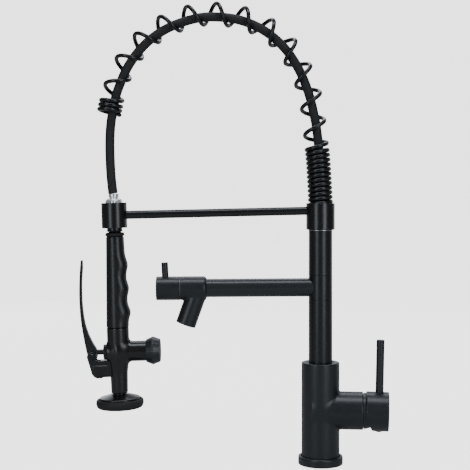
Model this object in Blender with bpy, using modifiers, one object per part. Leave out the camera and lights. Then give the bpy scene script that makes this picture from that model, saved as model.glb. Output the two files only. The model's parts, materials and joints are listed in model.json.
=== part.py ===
"""Spring kitchen faucet with a docked trigger spray and a second, swivelling pot-filler spout.

World frame: origin at the centre of the body's underside on the column axis, +Z up, the spouts
reach towards -X, the mixer handle stands on the +X side.
Outlines and places are given in millimetres and turned into metres by the helper functions.
"""
import math

import bmesh
import bpy
from mathutils import Matrix, Vector

MM = 0.001
GAP = 0.3                      # between faces that touch on the real faucet
MERGE = 0.00001
FINE = 24                      # facets round the large, the middling and the small turned pieces
PLAIN = 16
SMALL = 10
SOLVERS = {"body": "MANIFOLD"}  # the crossing waterways leave open edges with EXACT

# Deck fitting and mixer body
BASE_RING_R = 26.5
BASE_RING_TOP = 10.0
BODY_R = 22.5
BODY_TOP = 120.4
SPIGOT_R = 20.5
SPIGOT_TOP = 4.3
COLUMN_BORE_R = 16.1
COLUMN_BORE_FLOOR = 88.5
PORT_R = 3.6
PORT_OFFSET = 10.0
GRUB_Z = 96.0

# Side housing and mixer handle, measured along the handle axis from the column axis
HANDLE_YAW = -6.0              # degrees: the handle points slightly forward of the spout's line
HANDLE_Z = 63.5
HOUSING_R = 22.3
HOUSING_END = 50.4
CHAMBER_R = 17.8
CHAMBER_FLOOR = 20.0
MOUTH_R = 20.0
MOUTH_FLOOR = 40.0
TILT_CENTRE = 50.4             # centre of the dome, on the lever's tilt axis
DOME_R = 21.15
DOME_OPENING_R = 18.0
HUB_R = 23.0
HUB_START = 53.4
HUB_END = 80.6
HUB_CAVITY_R = 21.65
HUB_BOSS_R = 8.0
HUB_BOSS_START = 14.0          # from the dome's centre
HUB_RELIEF = 25.0              # degrees of tilt that the hub's lower edge is cut back for
LEVER_LEAN = 1.2               # degrees
LEVER_R = 4.75
LEVER_AT = 69.2
LEVER_TOP = 148.2

# Column
COLUMN_R = 14.0
COLUMN_BORE = 12.5
COLUMN_FOOT = 103.3
SLEEVE_BOTTOM = 195.2
SLEEVE_TOP = 224.2
CLAMP_R = 17.0
CLAMP_BOTTOM = 278.2
CLAMP_TOP = 309.5
SPRING_SEAT = 305.5

# Second spout
SPOUT_Z = 209.5
SPOUT_DROOP = 0.4              # degrees
SPOUT_TUBE_R = 10.9
SPOUT_BORE_R = 8.4
VALVE_R = 14.1
VALVE_INNER = -135.2
VALVE_OUTER = -166.0
KNOB_END = -195.3
KNOB_PIN_R = 4.0
NOZZLE_R = 12.0
NOZZLE_X = -145.0              # where the nozzle's axis leaves the spout's axis
NOZZLE_LEAN = 20.0             # degrees from straight down, towards the knob
NOZZLE_LENGTH = 46.0

# Support rod and dock
ROD_Z = 300.8
ROD_R = 5.0
ROD_DROOP = 1.3                # degrees
DOCK_X = -245.4
DOCK_Z = 295.0
DOCK_R = 15.1
DOCK_HALF = 15.0
SPRAY_TILT = 1.78              # degrees: the spray's foot swings towards the column

# Spray head, measured along its own axis up from the dock's centre
GRIP_TOP = -25.3
GRIP_BOTTOM = -132.8
VALVE_AXIS = -162.0
BRANCH_R = 12.0
TAIL_R = 10.1
TAIL_BOTTOM = -211.0
GRIP_BORE = 7.6
FINGER_BUMPS = [(-59.0, 2.8, 8.8), (-86.8, 2.7, 8.2), (-115.5, 3.1, 7.8)]   # at, size, width
PIVOT_OUT = 31.2               # trigger pivot, out from the spray's axis
PIVOT_AT = -166.8              # and along it
STEM_R = 3.25

# Spring and hose
WIRE_R = 2.5
COIL_R = 12.8
HOSE_R = 5.6
TIGHT_PITCH = 5.5
OPEN_PITCH = 32.0
END_PITCH = 5.3
TIGHT_TURNS = 11.8
OPEN_TURNS = 12.7
END_TURNS = 3.5
OPENING_OVER = 1.5             # turns in which the pitch opens, and closes again
CLOSING_OVER = 0.9
POINTS_PER_TURN = 8

# Centre line of the support spring: up from its seat, over the arch and down to the hose
SPRING_ROUTE = [
    (0.0, 308.6), (-0.2, 315.7), (-1.5, 340.7), (-3.2, 365.7), (-5.7, 387.1), (-8.0, 408.5),
    (-12.8, 439.1), (-23.3, 468.3), (-40.0, 496.0), (-63.9, 517.4), (-94.1, 530.4),
    (-126.7, 534.9), (-153.0, 532.2), (-184.1, 521.0), (-211.1, 502.3), (-231.6, 476.6),
    (-244.4, 446.7), (-249.6, 426.4), (-252.2, 412.0), (-253.2, 400.0),
]

# Centre line of the hose, from the nipple inside the clamp to the ferrule on the spray
HOSE_ROUTE = [
    (0.0, 306.6), (0.0, 316.0), (-0.9, 340.0), (-1.7, 366.0), (-2.6, 382.0), (-4.3, 395.7),
    (-6.3, 408.5), (-13.6, 438.8), (-24.9, 467.1), (-42.2, 493.4), (-65.8, 514.1),
    (-95.0, 527.1), (-126.7, 531.2), (-152.1, 528.4), (-182.1, 517.6), (-208.0, 499.2),
    (-227.8, 474.1), (-240.7, 445.5), (-245.8, 426.4), (-248.8, 408.5), (-250.2, 394.2),
    (-250.6, 376.4), (-250.1, 358.5), (-249.0, 340.0), (-246.9, 321.3),
]

MATERIALS = {
    "black_satin": ((0.030, 0.032, 0.036, 1.0), 0.45, 0.6),
    "black_gloss": ((0.018, 0.018, 0.020, 1.0), 0.25, 0.6),
    "black_grip": ((0.035, 0.036, 0.040, 1.0), 0.55, 0.0),
    "rubber": ((0.022, 0.022, 0.024, 1.0), 0.70, 0.0),
    "chrome": ((0.80, 0.81, 0.83, 1.0), 0.08, 1.0),
    "steel": ((0.55, 0.56, 0.58, 1.0), 0.30, 1.0),
    "brass": ((0.62, 0.48, 0.22, 1.0), 0.35, 1.0),
    "white_plastic": ((0.80, 0.80, 0.78, 1.0), 0.45, 0.0),
}

PARTS = None
CUTTERS = None


# ---------------------------------------------------------------- helpers

def clear_scene():
    for obj in list(bpy.data.objects):
        bpy.data.objects.remove(obj, do_unlink=True)


def new_collection(name):
    collection = bpy.data.collections.new(name)
    bpy.context.scene.collection.children.link(collection)
    return collection


def material(name):
    """The named Principled material, made on first use."""
    found = bpy.data.materials.get(name)
    if found:
        return found
    colour, roughness, metallic = MATERIALS[name]
    made = bpy.data.materials.new(name)
    made.use_nodes = True
    shader = made.node_tree.nodes["Principled BSDF"]
    shader.inputs["Base Color"].default_value = colour
    shader.inputs["Roughness"].default_value = roughness
    shader.inputs["Metallic"].default_value = metallic
    return made


def frame(name, location=(0, 0, 0), yaw=0.0, tilt=0.0, parent=None):
    """An empty that places a group: tilt in degrees about Y, then yaw about Z."""
    empty = bpy.data.objects.new(name, None)
    PARTS.objects.link(empty)
    empty.location = Vector(location) * MM
    empty.rotation_euler = (0, math.radians(tilt), math.radians(yaw))
    empty.parent = parent
    return empty


AIMS = {
    "+Z": (0, 0, 0),
    "-Z": (math.pi, 0, 0),
    "+X": (0, math.pi / 2, 0),
    "-X": (0, -math.pi / 2, 0),
    "+Y": (-math.pi / 2, 0, 0),
    "-Y": (math.pi / 2, 0, 0),
}


def add_object(name, data, slot, parent=None, at=(0, 0, 0), aim="+Z"):
    """Links an object as a part, or as a cutter where slot is None."""
    obj = bpy.data.objects.new(name, data)
    obj.location = Vector(at) * MM
    obj.rotation_euler = AIMS[aim] if isinstance(aim, str) else aim
    obj.parent = parent
    if slot is None:
        CUTTERS.objects.link(obj)
        obj.hide_render = True
        obj.display_type = "WIRE"
    else:
        PARTS.objects.link(obj)
        data.materials.append(material(slot))
    return obj


def shade(mesh):
    mesh.shade_smooth()
    mesh.set_sharp_from_angle(angle=math.radians(35))


def turned(name, profile, slot, parent=None, at=(0, 0, 0), aim="+Z", steps=FINE):
    """A turned shape from (radius, height) points that run down its outer side.

    A profile that starts on the axis makes a solid; any other is closed into a ring.
    """
    mesh = bpy.data.meshes.new(name)
    count = len(profile)
    edges = [(i, i + 1) for i in range(count - 1)]
    if profile[0][0] > 0:
        edges.append((count - 1, 0))
    mesh.from_pydata([(r * MM, 0, h * MM) for r, h in profile], edges, [])
    obj = add_object(name, mesh, slot, parent, at, aim)
    screw = obj.modifiers.new("turn", "SCREW")
    screw.axis = "Z"
    screw.steps = steps
    screw.render_steps = steps
    screw.use_merge_vertices = True
    screw.merge_threshold = MERGE
    screw.use_smooth_shade = True
    return obj


def rod_profile(radius, start, end, bevel=0.0):
    """A solid bar's profile from its top, end, down to start."""
    if bevel == 0:
        return [(0, end), (radius, end), (radius, start), (0, start)]
    return [(0, end), (radius - bevel, end), (radius, end - bevel),
            (radius, start + bevel), (radius - bevel, start), (0, start)]


def ring_profile(outer, inner, start, end, bevel=0.0):
    if bevel == 0:
        return [(outer, end), (outer, start), (inner, start), (inner, end)]
    return [(outer - bevel, end), (outer, end - bevel), (outer, start + bevel),
            (outer - bevel, start), (inner, start), (inner, end)]


def arc(radius, start, end, count, centre=(0.0, 0.0)):
    """Points on a circle between two angles in degrees, as (out, up) pairs."""
    turns = [math.radians(start + (end - start) * i / (count - 1)) for i in range(count)]
    return [(centre[0] + radius * math.cos(t), centre[1] + radius * math.sin(t)) for t in turns]


def drill(target, radius, start, end, parent=None, at=(0, 0, 0), aim="+Z", steps=PLAIN):
    """Cuts a round hole along an axis."""
    carve(target, rod_profile(radius, start, end), parent, at, aim, steps)


def carve(target, profile, parent=None, at=(0, 0, 0), aim="+Z", steps=PLAIN):
    """Cuts a turned hollow, such as a stepped bore."""
    name = f"{target.name}_hollow_{len(target.modifiers)}"
    cutter = turned(name, profile, None, parent, at, aim, steps)
    combine(target, cutter, "DIFFERENCE")


def combine(target, tool, operation):
    boolean = target.modifiers.new(operation.lower(), "BOOLEAN")
    boolean.operation = operation
    boolean.solver = SOLVERS.get(target.name, "EXACT")
    boolean.object = tool


def cut_box(target, size, parent, at, shift=0.0, aim=(0, 0, 0)):
    """Cuts a box away; shift moves it along its own X before it is turned by aim."""
    mesh = bpy.data.meshes.new(target.name + "_gap")
    cage = bmesh.new()
    bmesh.ops.create_cube(cage, size=1.0, matrix=Matrix.Diagonal((*(Vector(size) * MM), 1.0)))
    bmesh.ops.translate(cage, verts=cage.verts, vec=(shift * MM, 0, 0))
    cage.to_mesh(mesh)
    cage.free()
    combine(target, add_object(target.name + "_gap", mesh, None, parent, at, aim), "DIFFERENCE")


def plate(name, outline, thickness, slot, parent=None, at=(0, 0, 0)):
    """A flat plate in the XZ plane from a list of (x, z) points, centred on Y."""
    curve = bpy.data.curves.new(name, "CURVE")
    curve.dimensions = "2D"
    curve.fill_mode = "BOTH"
    curve.extrude = thickness * MM / 2
    spline = curve.splines.new("POLY")
    spline.points.add(len(outline) - 1)
    for point, (x, z) in zip(spline.points, outline):
        point.co = (x * MM, z * MM, 0, 1)
    spline.use_cyclic_u = True
    guide = add_object(name + "_outline", curve, None, parent, at, (math.pi / 2, 0, 0))
    return as_mesh(guide, name, slot)


def tube_along(name, points, radius, slot, sides=2):
    """A round bar with filled caps along a list of world points."""
    curve = bpy.data.curves.new(name, "CURVE")
    curve.dimensions = "3D"
    curve.bevel_depth = radius * MM
    curve.bevel_resolution = sides
    curve.use_fill_caps = True
    spline = curve.splines.new("POLY")
    spline.points.add(len(points) - 1)
    for point, place in zip(spline.points, points):
        point.co = (place[0] * MM, place[1] * MM, place[2] * MM, 1)
    return add_object(name, curve, slot)


def as_mesh(source, name, slot):
    """Replaces a curve object by a welded mesh object in the same place."""
    graph = bpy.context.evaluated_depsgraph_get()
    graph.update()
    mesh = bpy.data.meshes.new_from_object(source.evaluated_get(graph))
    parent = source.parent
    at = tuple(source.location / MM)
    aim = tuple(source.rotation_euler)
    bpy.data.objects.remove(source, do_unlink=True)
    weld(mesh)
    mesh.name = name
    mesh.materials.clear()
    return add_object(name, mesh, slot, parent, at, aim)


def weld(mesh):
    cage = bmesh.new()
    cage.from_mesh(mesh)
    bmesh.ops.remove_doubles(cage, verts=cage.verts, dist=MERGE)
    bmesh.ops.recalc_face_normals(cage, faces=cage.faces)
    cage.to_mesh(mesh)
    cage.free()


def smooth_route(points, spacing):
    """Points every so many millimetres on a smooth curve through (x, z) points."""
    dense = []
    padded = [points[0]] + points + [points[-1]]
    for i in range(len(points) - 1):
        p0, p1, p2, p3 = (Vector(p) for p in padded[i:i + 4])
        for k in range(20):
            t = k / 20
            dense.append(0.5 * ((2 * p1) + (p2 - p0) * t + (2 * p0 - 5 * p1 + 4 * p2 - p3) * t * t
                                + (3 * p1 - p0 - 3 * p2 + p3) * t ** 3))
    dense.append(Vector(points[-1]))
    travelled = [0.0]
    for a, b in zip(dense, dense[1:]):
        travelled.append(travelled[-1] + (b - a).length)
    steps = max(2, round(travelled[-1] / spacing))
    places = []
    for k in range(steps + 1):
        wanted = travelled[-1] * k / steps
        j = max(1, next(i for i, s in enumerate(travelled) if s >= wanted - 1e-9))
        share = (wanted - travelled[j - 1]) / (travelled[j] - travelled[j - 1])
        places.append(dense[j - 1].lerp(dense[j], share))
    return places, travelled[-1] / steps


# ---------------------------------------------------------------- mixer body

def make_base():
    turned("base_ring",
           [(24.6, BASE_RING_TOP), (25.9, 9.4), (BASE_RING_R, 8.0), (BASE_RING_R, 0),
            (25.1, 0), (25.1, 2.3), (SPIGOT_R + 0.4, 2.3), (SPIGOT_R + 0.4, 4.0),
            (BODY_R + 0.6, 4.0), (BODY_R + 0.6, BASE_RING_TOP)], "black_satin", steps=FINE)
    turned("base_gasket", ring_profile(24.8, 21.6, 0, 2.0), "rubber")


def make_body(mixer):
    """The casting: upright body, side housing for the cartridge, and the waterways."""
    body = turned("body",
                  [(0, BODY_TOP), (BODY_R - 0.7, BODY_TOP), (BODY_R, BODY_TOP - 0.7),
                   (BODY_R, SPIGOT_TOP), (SPIGOT_R, SPIGOT_TOP), (SPIGOT_R, 0), (0, 0)],
                  "black_satin", mixer, steps=FINE)
    housing = turned("body_housing", rod_profile(HOUSING_R, 0, HOUSING_END, 1.0)[:4] + [(0, 0)],
                     None, mixer, (0, 0, HANDLE_Z), "+X", steps=FINE)
    combine(body, housing, "UNION")
    axis = (0, 0, HANDLE_Z)
    drill(body, COLUMN_BORE_R, COLUMN_BORE_FLOOR, BODY_TOP + 2, mixer, steps=FINE)
    chamber = [(0, HOUSING_END + 2), (MOUTH_R, HOUSING_END + 2), (MOUTH_R, MOUTH_FLOOR),
               (CHAMBER_R, MOUTH_FLOOR), (CHAMBER_R, CHAMBER_FLOOR), (4.0, CHAMBER_FLOOR),
               (4.0, 6.5), (0, 6.5)]
    carve(body, chamber, mixer, axis, "+X", steps=FINE)
    drill(body, 3.2, HANDLE_Z + 0.7, COLUMN_BORE_FLOOR + 3.3, mixer, (9.9, 0.6, 0), steps=SMALL)
    for side in (-1, 1):
        port = (9, side * PORT_OFFSET)
        drill(body, PORT_R, -1, HANDLE_Z + 0.7, mixer, (*port, 0), steps=SMALL)
        drill(body, PORT_R + 0.2, 5.1, CHAMBER_FLOOR + 1, mixer, (0, port[1], HANDLE_Z), "+X",
              steps=SMALL)
        drill(body, 3.4, -1, 14, mixer, (-9, port[1], 0), steps=SMALL)
    drill(body, 2.3, 12, 24, mixer, (0, 0, GRUB_Z), "+Y", steps=SMALL)


def make_cartridge(mixer):
    axis = (0, 0, HANDLE_Z)
    turned("cartridge",
           [(13.5, 44.0), (13.5, 41.0), (17.3, 41.0), (17.3, CHAMBER_FLOOR + GAP),
            (2.0, CHAMBER_FLOOR + GAP), (2.0, 33.0), (9.4, 33.0), (9.4, 44.0)],
           "white_plastic", mixer, axis, "+X")
    turned("cartridge_nut", ring_profile(19.6, 13.9, 41.4, 45.6), "brass", mixer, axis, "+X")
    skin = arc(DOME_R, math.degrees(math.acos(DOME_OPENING_R / DOME_R)), 1.0, 7,
               (0, TILT_CENTRE))
    lining = arc(19.3, 0.0, math.degrees(math.acos(DOME_OPENING_R / 19.3)), 6,
                 (0, TILT_CENTRE))
    skirt = [(19.6, HOUSING_END + 0.35), (19.6, 46.2), (18.0, 46.2)]
    turned("bonnet_dome", skin + skirt + lining, "black_satin", mixer, axis, "+X", steps=FINE)


def make_column_seat(mixer):
    turned("column_bush", ring_profile(15.8, COLUMN_R + 0.35, 104.5, BODY_TOP - 0.4), "black_grip")
    turned("column_grub_screw", rod_profile(2.0, 13.7, 21.6), "steel", mixer, (0, 0, GRUB_Z),
           "+Y", steps=SMALL)


# ---------------------------------------------------------------- mixer handle

def make_rotor(mixer):
    """The part of the cartridge that turns for temperature, with the lever's cross pin."""
    axis = (0, 0, HANDLE_Z)
    rotor = turned("cartridge_rotor", rod_profile(9.0, 33.4, 54.0), "white_plastic", mixer, axis,
                   "+X", steps=PLAIN)
    cut_box(rotor, (18.0, 8.2, 24.0), mixer, (52.0, 0, HANDLE_Z))
    across = (TILT_CENTRE, 0, HANDLE_Z)
    drill(rotor, 1.5, -10, 10, mixer, across, "+Y", steps=SMALL)
    turned("spindle_pin", rod_profile(1.2, -8.3, 8.3), "steel", mixer, across, "+Y", steps=SMALL)


def make_handle(handle):
    """Everything that tips with the lever; the handle frame sits at the dome's centre."""
    spindle = turned("mixer_spindle", rod_profile(3.7, -5.0, 26.4), "steel", handle, aim="+X",
                     steps=PLAIN)
    drill(spindle, 1.5, -6, 6, handle, aim="+Y", steps=SMALL)
    end = HUB_END - TILT_CENTRE
    hub = turned("handle_hub",
                 [(0, end), (HUB_R - 0.8, end), (HUB_R, end - 0.8),
                  (HUB_R, HUB_START - TILT_CENTRE + 1.3),
                  (HUB_R - 1.0, HUB_START - TILT_CENTRE), (HUB_CAVITY_R, HUB_START - TILT_CENTRE)]
                 + arc(HUB_CAVITY_R, 10.0, math.degrees(math.acos(HUB_BOSS_R / HUB_CAVITY_R)), 6)
                 + [(HUB_BOSS_R, HUB_BOSS_START), (0, HUB_BOSS_START)],
                 "black_satin", handle, aim="+X", steps=FINE)
    drill(hub, 4.1, HUB_BOSS_START - 1, 27, handle, aim="+X", steps=PLAIN)
    cut_box(hub, (30.0, 60.0, 60.0), handle, (11.6, 0, -HUB_R), -15.0,
            (0, math.radians(-HUB_RELIEF), 0))
    pin = LEVER_AT - TILT_CENTRE
    drill(hub, LEVER_R + 0.3, 15.0, 26, handle, (pin, 0, 0), steps=PLAIN)
    drill(hub, 2.4, 0, 26, handle, (pin, 0, 0), "-Z", steps=SMALL)
    drill(hub, 4.2, 19.0, 26, handle, (pin, 0, 0), "-Z", steps=PLAIN)
    turned("handle_lever", rod_profile(LEVER_R, 15.4, LEVER_TOP - HANDLE_Z, 0.4), "black_satin",
           handle, (pin, 0, 0), steps=PLAIN)
    turned("handle_set_screw", rod_profile(2.0, 4.2, 7.8), "steel", handle, (pin, 0, 0), "-Z",
           steps=SMALL)
    dome = arc(9.6, 90.0, 60.0, 4, (0, HUB_R + 1.4 - 9.6))
    turned("handle_index_cap", [(0, HUB_R + 1.4)] + dome[1:] + [(4.9, HUB_R + 0.1),
           (3.9, HUB_R + 0.1), (3.9, 19.4), (0, 19.4)], "black_gloss", handle, (pin, 0, 0),
           "-Z", steps=PLAIN)


# ---------------------------------------------------------------- column

def make_column():
    core = turned("column_core",
                  [(9.2, 284), (9.2, 223.0), (12.2, 223.0), (12.2, 219.4), (10.2, 219.4),
                   (10.2, 216.8), (12.2, 216.8), (12.2, 200.4), (10.2, 200.4), (10.2, 197.8),
                   (12.2, 197.8), (12.2, 194.2), (9.2, 194.2), (9.2, COLUMN_FOOT - GAP),
                   (15.7, COLUMN_FOOT - GAP), (15.7, 98.5), (13.2, 98.5), (13.2, 93.5),
                   (15.7, 93.5), (15.7, 89.0), (5.5, 89.0), (5.5, 284)], "brass", steps=PLAIN)
    drill(core, 3.5, 0, 20, at=(0, 0, SPOUT_Z), aim="-X", steps=SMALL)
    for name, height in (("spout_seal_upper", 218.1), ("spout_seal_lower", 199.1)):
        section = arc(0.95, 180.0, -120.0, 6, (11.4, height))
        turned(name, section, "rubber", steps=PLAIN)
    turned("lower_column", ring_profile(COLUMN_R, COLUMN_BORE, COLUMN_FOOT,
                                        SLEEVE_BOTTOM - GAP, 0.25), "black_satin", steps=FINE)
    neck_r = COLUMN_R - 0.8
    shoulder = CLAMP_BOTTOM - 1.4
    turned("upper_column",
           [(neck_r, 291.5), (neck_r, shoulder), (COLUMN_R, shoulder),
            (COLUMN_R, SLEEVE_TOP + GAP), (COLUMN_BORE, SLEEVE_TOP + GAP),
            (COLUMN_BORE, 291.5)], "black_satin", steps=FINE)
    turned("clamp_washer", ring_profile(14.6, 13.5, shoulder + 0.25, shoulder + 1.15), "steel")


def make_clamp(rod):
    clamp = turned("top_clamp",
                   rod_profile(CLAMP_R, CLAMP_BOTTOM, CLAMP_TOP, 0.6), "black_satin", steps=FINE)
    drill(clamp, 13.5, CLAMP_BOTTOM - 2, 291.8, steps=FINE)
    drill(clamp, 7.1, 290, CLAMP_TOP + 2, steps=PLAIN)
    drill(clamp, 15.5, SPRING_SEAT, CLAMP_TOP + 2, steps=FINE)
    drill(clamp, ROD_R + GAP, 9.0, 30.0, rod, aim="-X", steps=PLAIN)
    drill(clamp, 2.2, 12, 20, at=(0, 0, 285), aim="+Y", steps=SMALL)
    turned("clamp_grub_screw", rod_profile(1.95, 13.5, 16.6), "steel", at=(0, 0, 285),
           aim="+Y", steps=SMALL)
    turned("hose_nipple", [(6.8, 306.2), (6.8, 291.4), (9.0, 291.4), (9.0, 284.4),
                           (3.0, 284.4), (3.0, 306.2)], "brass", steps=PLAIN)


def make_rod_and_dock(rod, dock):
    reach = -DOCK_X / math.cos(math.radians(ROD_DROOP))
    turned("support_rod", rod_profile(ROD_R, 9.4, reach - 12.7), "black_satin", rod, aim="-X",
           steps=PLAIN)
    ring = turned("dock_ring", ring_profile(DOCK_R, 11.6, -DOCK_HALF, DOCK_HALF, 0.5),
                  "black_satin", dock, steps=FINE)
    drill(ring, ROD_R + GAP, reach - 25.0, reach - 12.4, rod, aim="-X", steps=PLAIN)
    turned("dock_liner", ring_profile(11.3, 10.75, -DOCK_HALF + 0.3, DOCK_HALF - 0.3),
           "black_grip", dock, steps=PLAIN)


def make_hose():
    places, _ = smooth_route(HOSE_ROUTE, 16.0)
    tube_along("hose", [(x, 0, z) for x, z in places], HOSE_R, "rubber")


def pitch_at(turn):
    """Rise of the spring per turn: close coils at the seat, open over the arch, close again."""
    into = min(1.0, max(0.0, (turn - TIGHT_TURNS) / OPENING_OVER))
    out_of = min(1.0, max(0.0, (turn - TIGHT_TURNS - OPEN_TURNS) / CLOSING_OVER))
    opened = TIGHT_PITCH + (OPEN_PITCH - TIGHT_PITCH) * into * into * (3 - 2 * into)
    return opened + (END_PITCH - opened) * out_of * out_of * (3 - 2 * out_of)


def make_spring():
    line, step = smooth_route(SPRING_ROUTE, 1.0)
    turns = TIGHT_TURNS + OPEN_TURNS + END_TURNS
    count = round(turns * POINTS_PER_TURN)
    points = []
    travelled = 0.0
    for i in range(count + 1):
        turn = i / POINTS_PER_TURN
        j = min(len(line) - 2, int(travelled / step))
        centre = line[j].lerp(line[j + 1], travelled / step - j)
        along = (line[min(len(line) - 1, j + 6)] - line[max(0, j - 6)]).normalized()
        across = Vector((-along.y, along.x))
        angle = math.tau * turn
        side = centre + across * (COIL_R * math.cos(angle))
        points.append((side.x, -COIL_R * math.sin(angle), side.y))
        travelled += pitch_at(turn) / POINTS_PER_TURN
    tube_along("support_spring", points, WIRE_R, "black_gloss", 1)


# ---------------------------------------------------------------- second spout

def make_spout(spout):
    sleeve = turned("spout_sleeve", ring_profile(COLUMN_R, COLUMN_BORE + 0.05, SLEEVE_BOTTOM,
                                                 SLEEVE_TOP, 0.25), "black_satin", steps=FINE)
    drill(sleeve, SPOUT_BORE_R, 8, 20, at=(0, 0, SPOUT_Z), aim="-X", steps=PLAIN)
    tube = turned("spout_tube", ring_profile(SPOUT_TUBE_R, SPOUT_BORE_R, 9.0, 143.0),
                  "black_satin", spout, aim="-X", steps=FINE)
    drill(tube, COLUMN_R + GAP, -30, 30, at=(0, 0, SPOUT_Z), steps=FINE)
    make_spout_valve(spout)


def make_spout_valve(spout):
    """Valve body at the spout's end, its ceramic core, the angled nozzle and the seam ring."""
    inner = -VALVE_INNER
    outer = -VALVE_OUTER
    valve = turned("spout_valve_body",
                   [(0, outer), (VALVE_R, outer), (VALVE_R, inner + 2.4),
                    (VALVE_R - 2.4, inner), (0, inner)],
                   "black_satin", spout, aim="-X", steps=FINE)
    drill(valve, SPOUT_TUBE_R + GAP, inner - 1, 143.4, spout, aim="-X", steps=FINE)
    drill(valve, 7.0, 142, 150, spout, aim="-X", steps=PLAIN)
    drill(valve, 10.6, 149.0, outer + 1, spout, aim="-X", steps=FINE)
    start = (NOZZLE_X, 0, 0)
    lean = (0, math.radians(180 + NOZZLE_LEAN), 0)
    drill(valve, 6.0, 0, 20, spout, start, lean, steps=PLAIN)
    nozzle = turned("spout_nozzle", ring_profile(NOZZLE_R, 10.4, 5.0, NOZZLE_LENGTH, 0.3),
                    "black_satin", spout, start, lean, steps=FINE)
    drill(nozzle, VALVE_R + GAP, inner - 12, outer + 20, spout, aim="-X", steps=FINE)
    turned("aerator", ring_profile(10.1, 3.0, NOZZLE_LENGTH - 9.0, NOZZLE_LENGTH - 0.8),
           "steel", spout, start, lean, steps=PLAIN)
    turned("spout_valve_core",
           [(10.3, outer - 0.5), (10.3, 149.4), (4.4, 149.4), (4.4, outer - 0.5)],
           "brass", spout, aim="-X", steps=PLAIN)
    turned("seam_ring", ring_profile(VALVE_R - 0.1, 11.0, outer + 0.2, outer + 1.2), "steel",
           spout, aim="-X", steps=FINE)


def make_spout_knob(spout):
    start = -VALVE_OUTER + 1.5
    end = -KNOB_END
    knob = turned("spout_knob",
                  [(0, end), (VALVE_R - 0.7, end), (VALVE_R, end - 0.7), (VALVE_R, start + 0.2),
                   (VALVE_R - 0.3, start), (0, start)], "black_satin", spout, aim="-X", steps=FINE)
    drill(knob, 4.3, start - 1, start + 13, spout, aim="-X", steps=PLAIN)
    lean = (0, math.radians(-2.4), 0)
    place = (-184.0, 0, 0)
    drill(knob, KNOB_PIN_R + GAP, 8.1, 20, spout, place, lean)
    turned("spout_knob_pin", rod_profile(KNOB_PIN_R, 8.4, 30.8, 0.4), "black_satin", spout, place,
           lean, steps=PLAIN)
    turned("spout_valve_spindle", rod_profile(3.9, 152.0, start + 12.6), "brass", spout,
           aim="-X", steps=PLAIN)


# ---------------------------------------------------------------- spray head

def make_spray_top(spray):
    """Ferrule, swivel nut and connector: what passes through the dock."""
    turned("hose_ferrule", [(0, 25.7), (6.0, 25.7), (6.0, 21.9), (5.2, 21.4), (5.2, 12.0),
                            (0, 12.0)], "chrome", spray, steps=PLAIN)
    turned("hose_swivel_nut", [(6.4, 20.1), (8.6, 19.3), (10.0, 17.2), (10.3, 15.5), (10.3, 2.0),
                               (8.1, 2.0), (8.1, 11.6), (5.6, 11.6), (5.6, 20.1)],
           "chrome", spray, steps=PLAIN)
    turned("spray_connector",
           [(7.8, 11.0), (7.8, 1.7), (10.3, 1.7), (10.3, -13.4), (9.05, -14.6), (9.05, -17.2),
            (9.5, -18.0), (9.05, -18.8), (7.0, -20.0), (7.0, -32.0), (4.0, -32.0), (4.0, 11.0)],
           "black_satin", spray, steps=PLAIN)
    turned("neck_o_ring", arc(2.1, 180.0, -120.0, 6, (9.4, -22.8)), "rubber", spray, steps=PLAIN)


def grip_radius(height, angle):
    """The grip tapers, with finger bumps on the side that faces the column."""
    share = (GRIP_TOP - height) / (GRIP_TOP - GRIP_BOTTOM)
    base = 10.6 + 2.75 * share
    bump = sum(size * math.exp(-((height - at) / width) ** 2) for at, size, width in FINGER_BUMPS)
    return base + bump * max(0.0, math.cos(angle)) ** 1.5


def make_grip(spray):
    sides = 20
    heights = [GRIP_TOP, -31.0, -45.0, -52.0, -59.0, -66.0, -73.0, -80.0, -86.8, -93.5, -100.5,
               -108.0, -115.5, -122.5, -129.0, GRIP_BOTTOM]
    cage = bmesh.new()
    rings = []
    for bore in (False, True):
        for height in (heights if not bore else [GRIP_BOTTOM, GRIP_TOP]):
            ring = []
            for k in range(sides):
                angle = math.tau * k / sides
                radius = GRIP_BORE if bore else grip_radius(height, angle)
                place = (radius * math.cos(angle), radius * math.sin(angle), height)
                ring.append(cage.verts.new(Vector(place) * MM))
            rings.append(ring)
    for upper, lower in zip(rings, rings[1:] + rings[:1]):
        for k in range(sides):
            m = (k + 1) % sides
            cage.faces.new((upper[k], lower[k], lower[m], upper[m]))
    bmesh.ops.recalc_face_normals(cage, faces=cage.faces)
    mesh = bpy.data.meshes.new("grip")
    cage.to_mesh(mesh)
    cage.free()
    shade(mesh)
    add_object("grip", mesh, "black_grip", spray)


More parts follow.
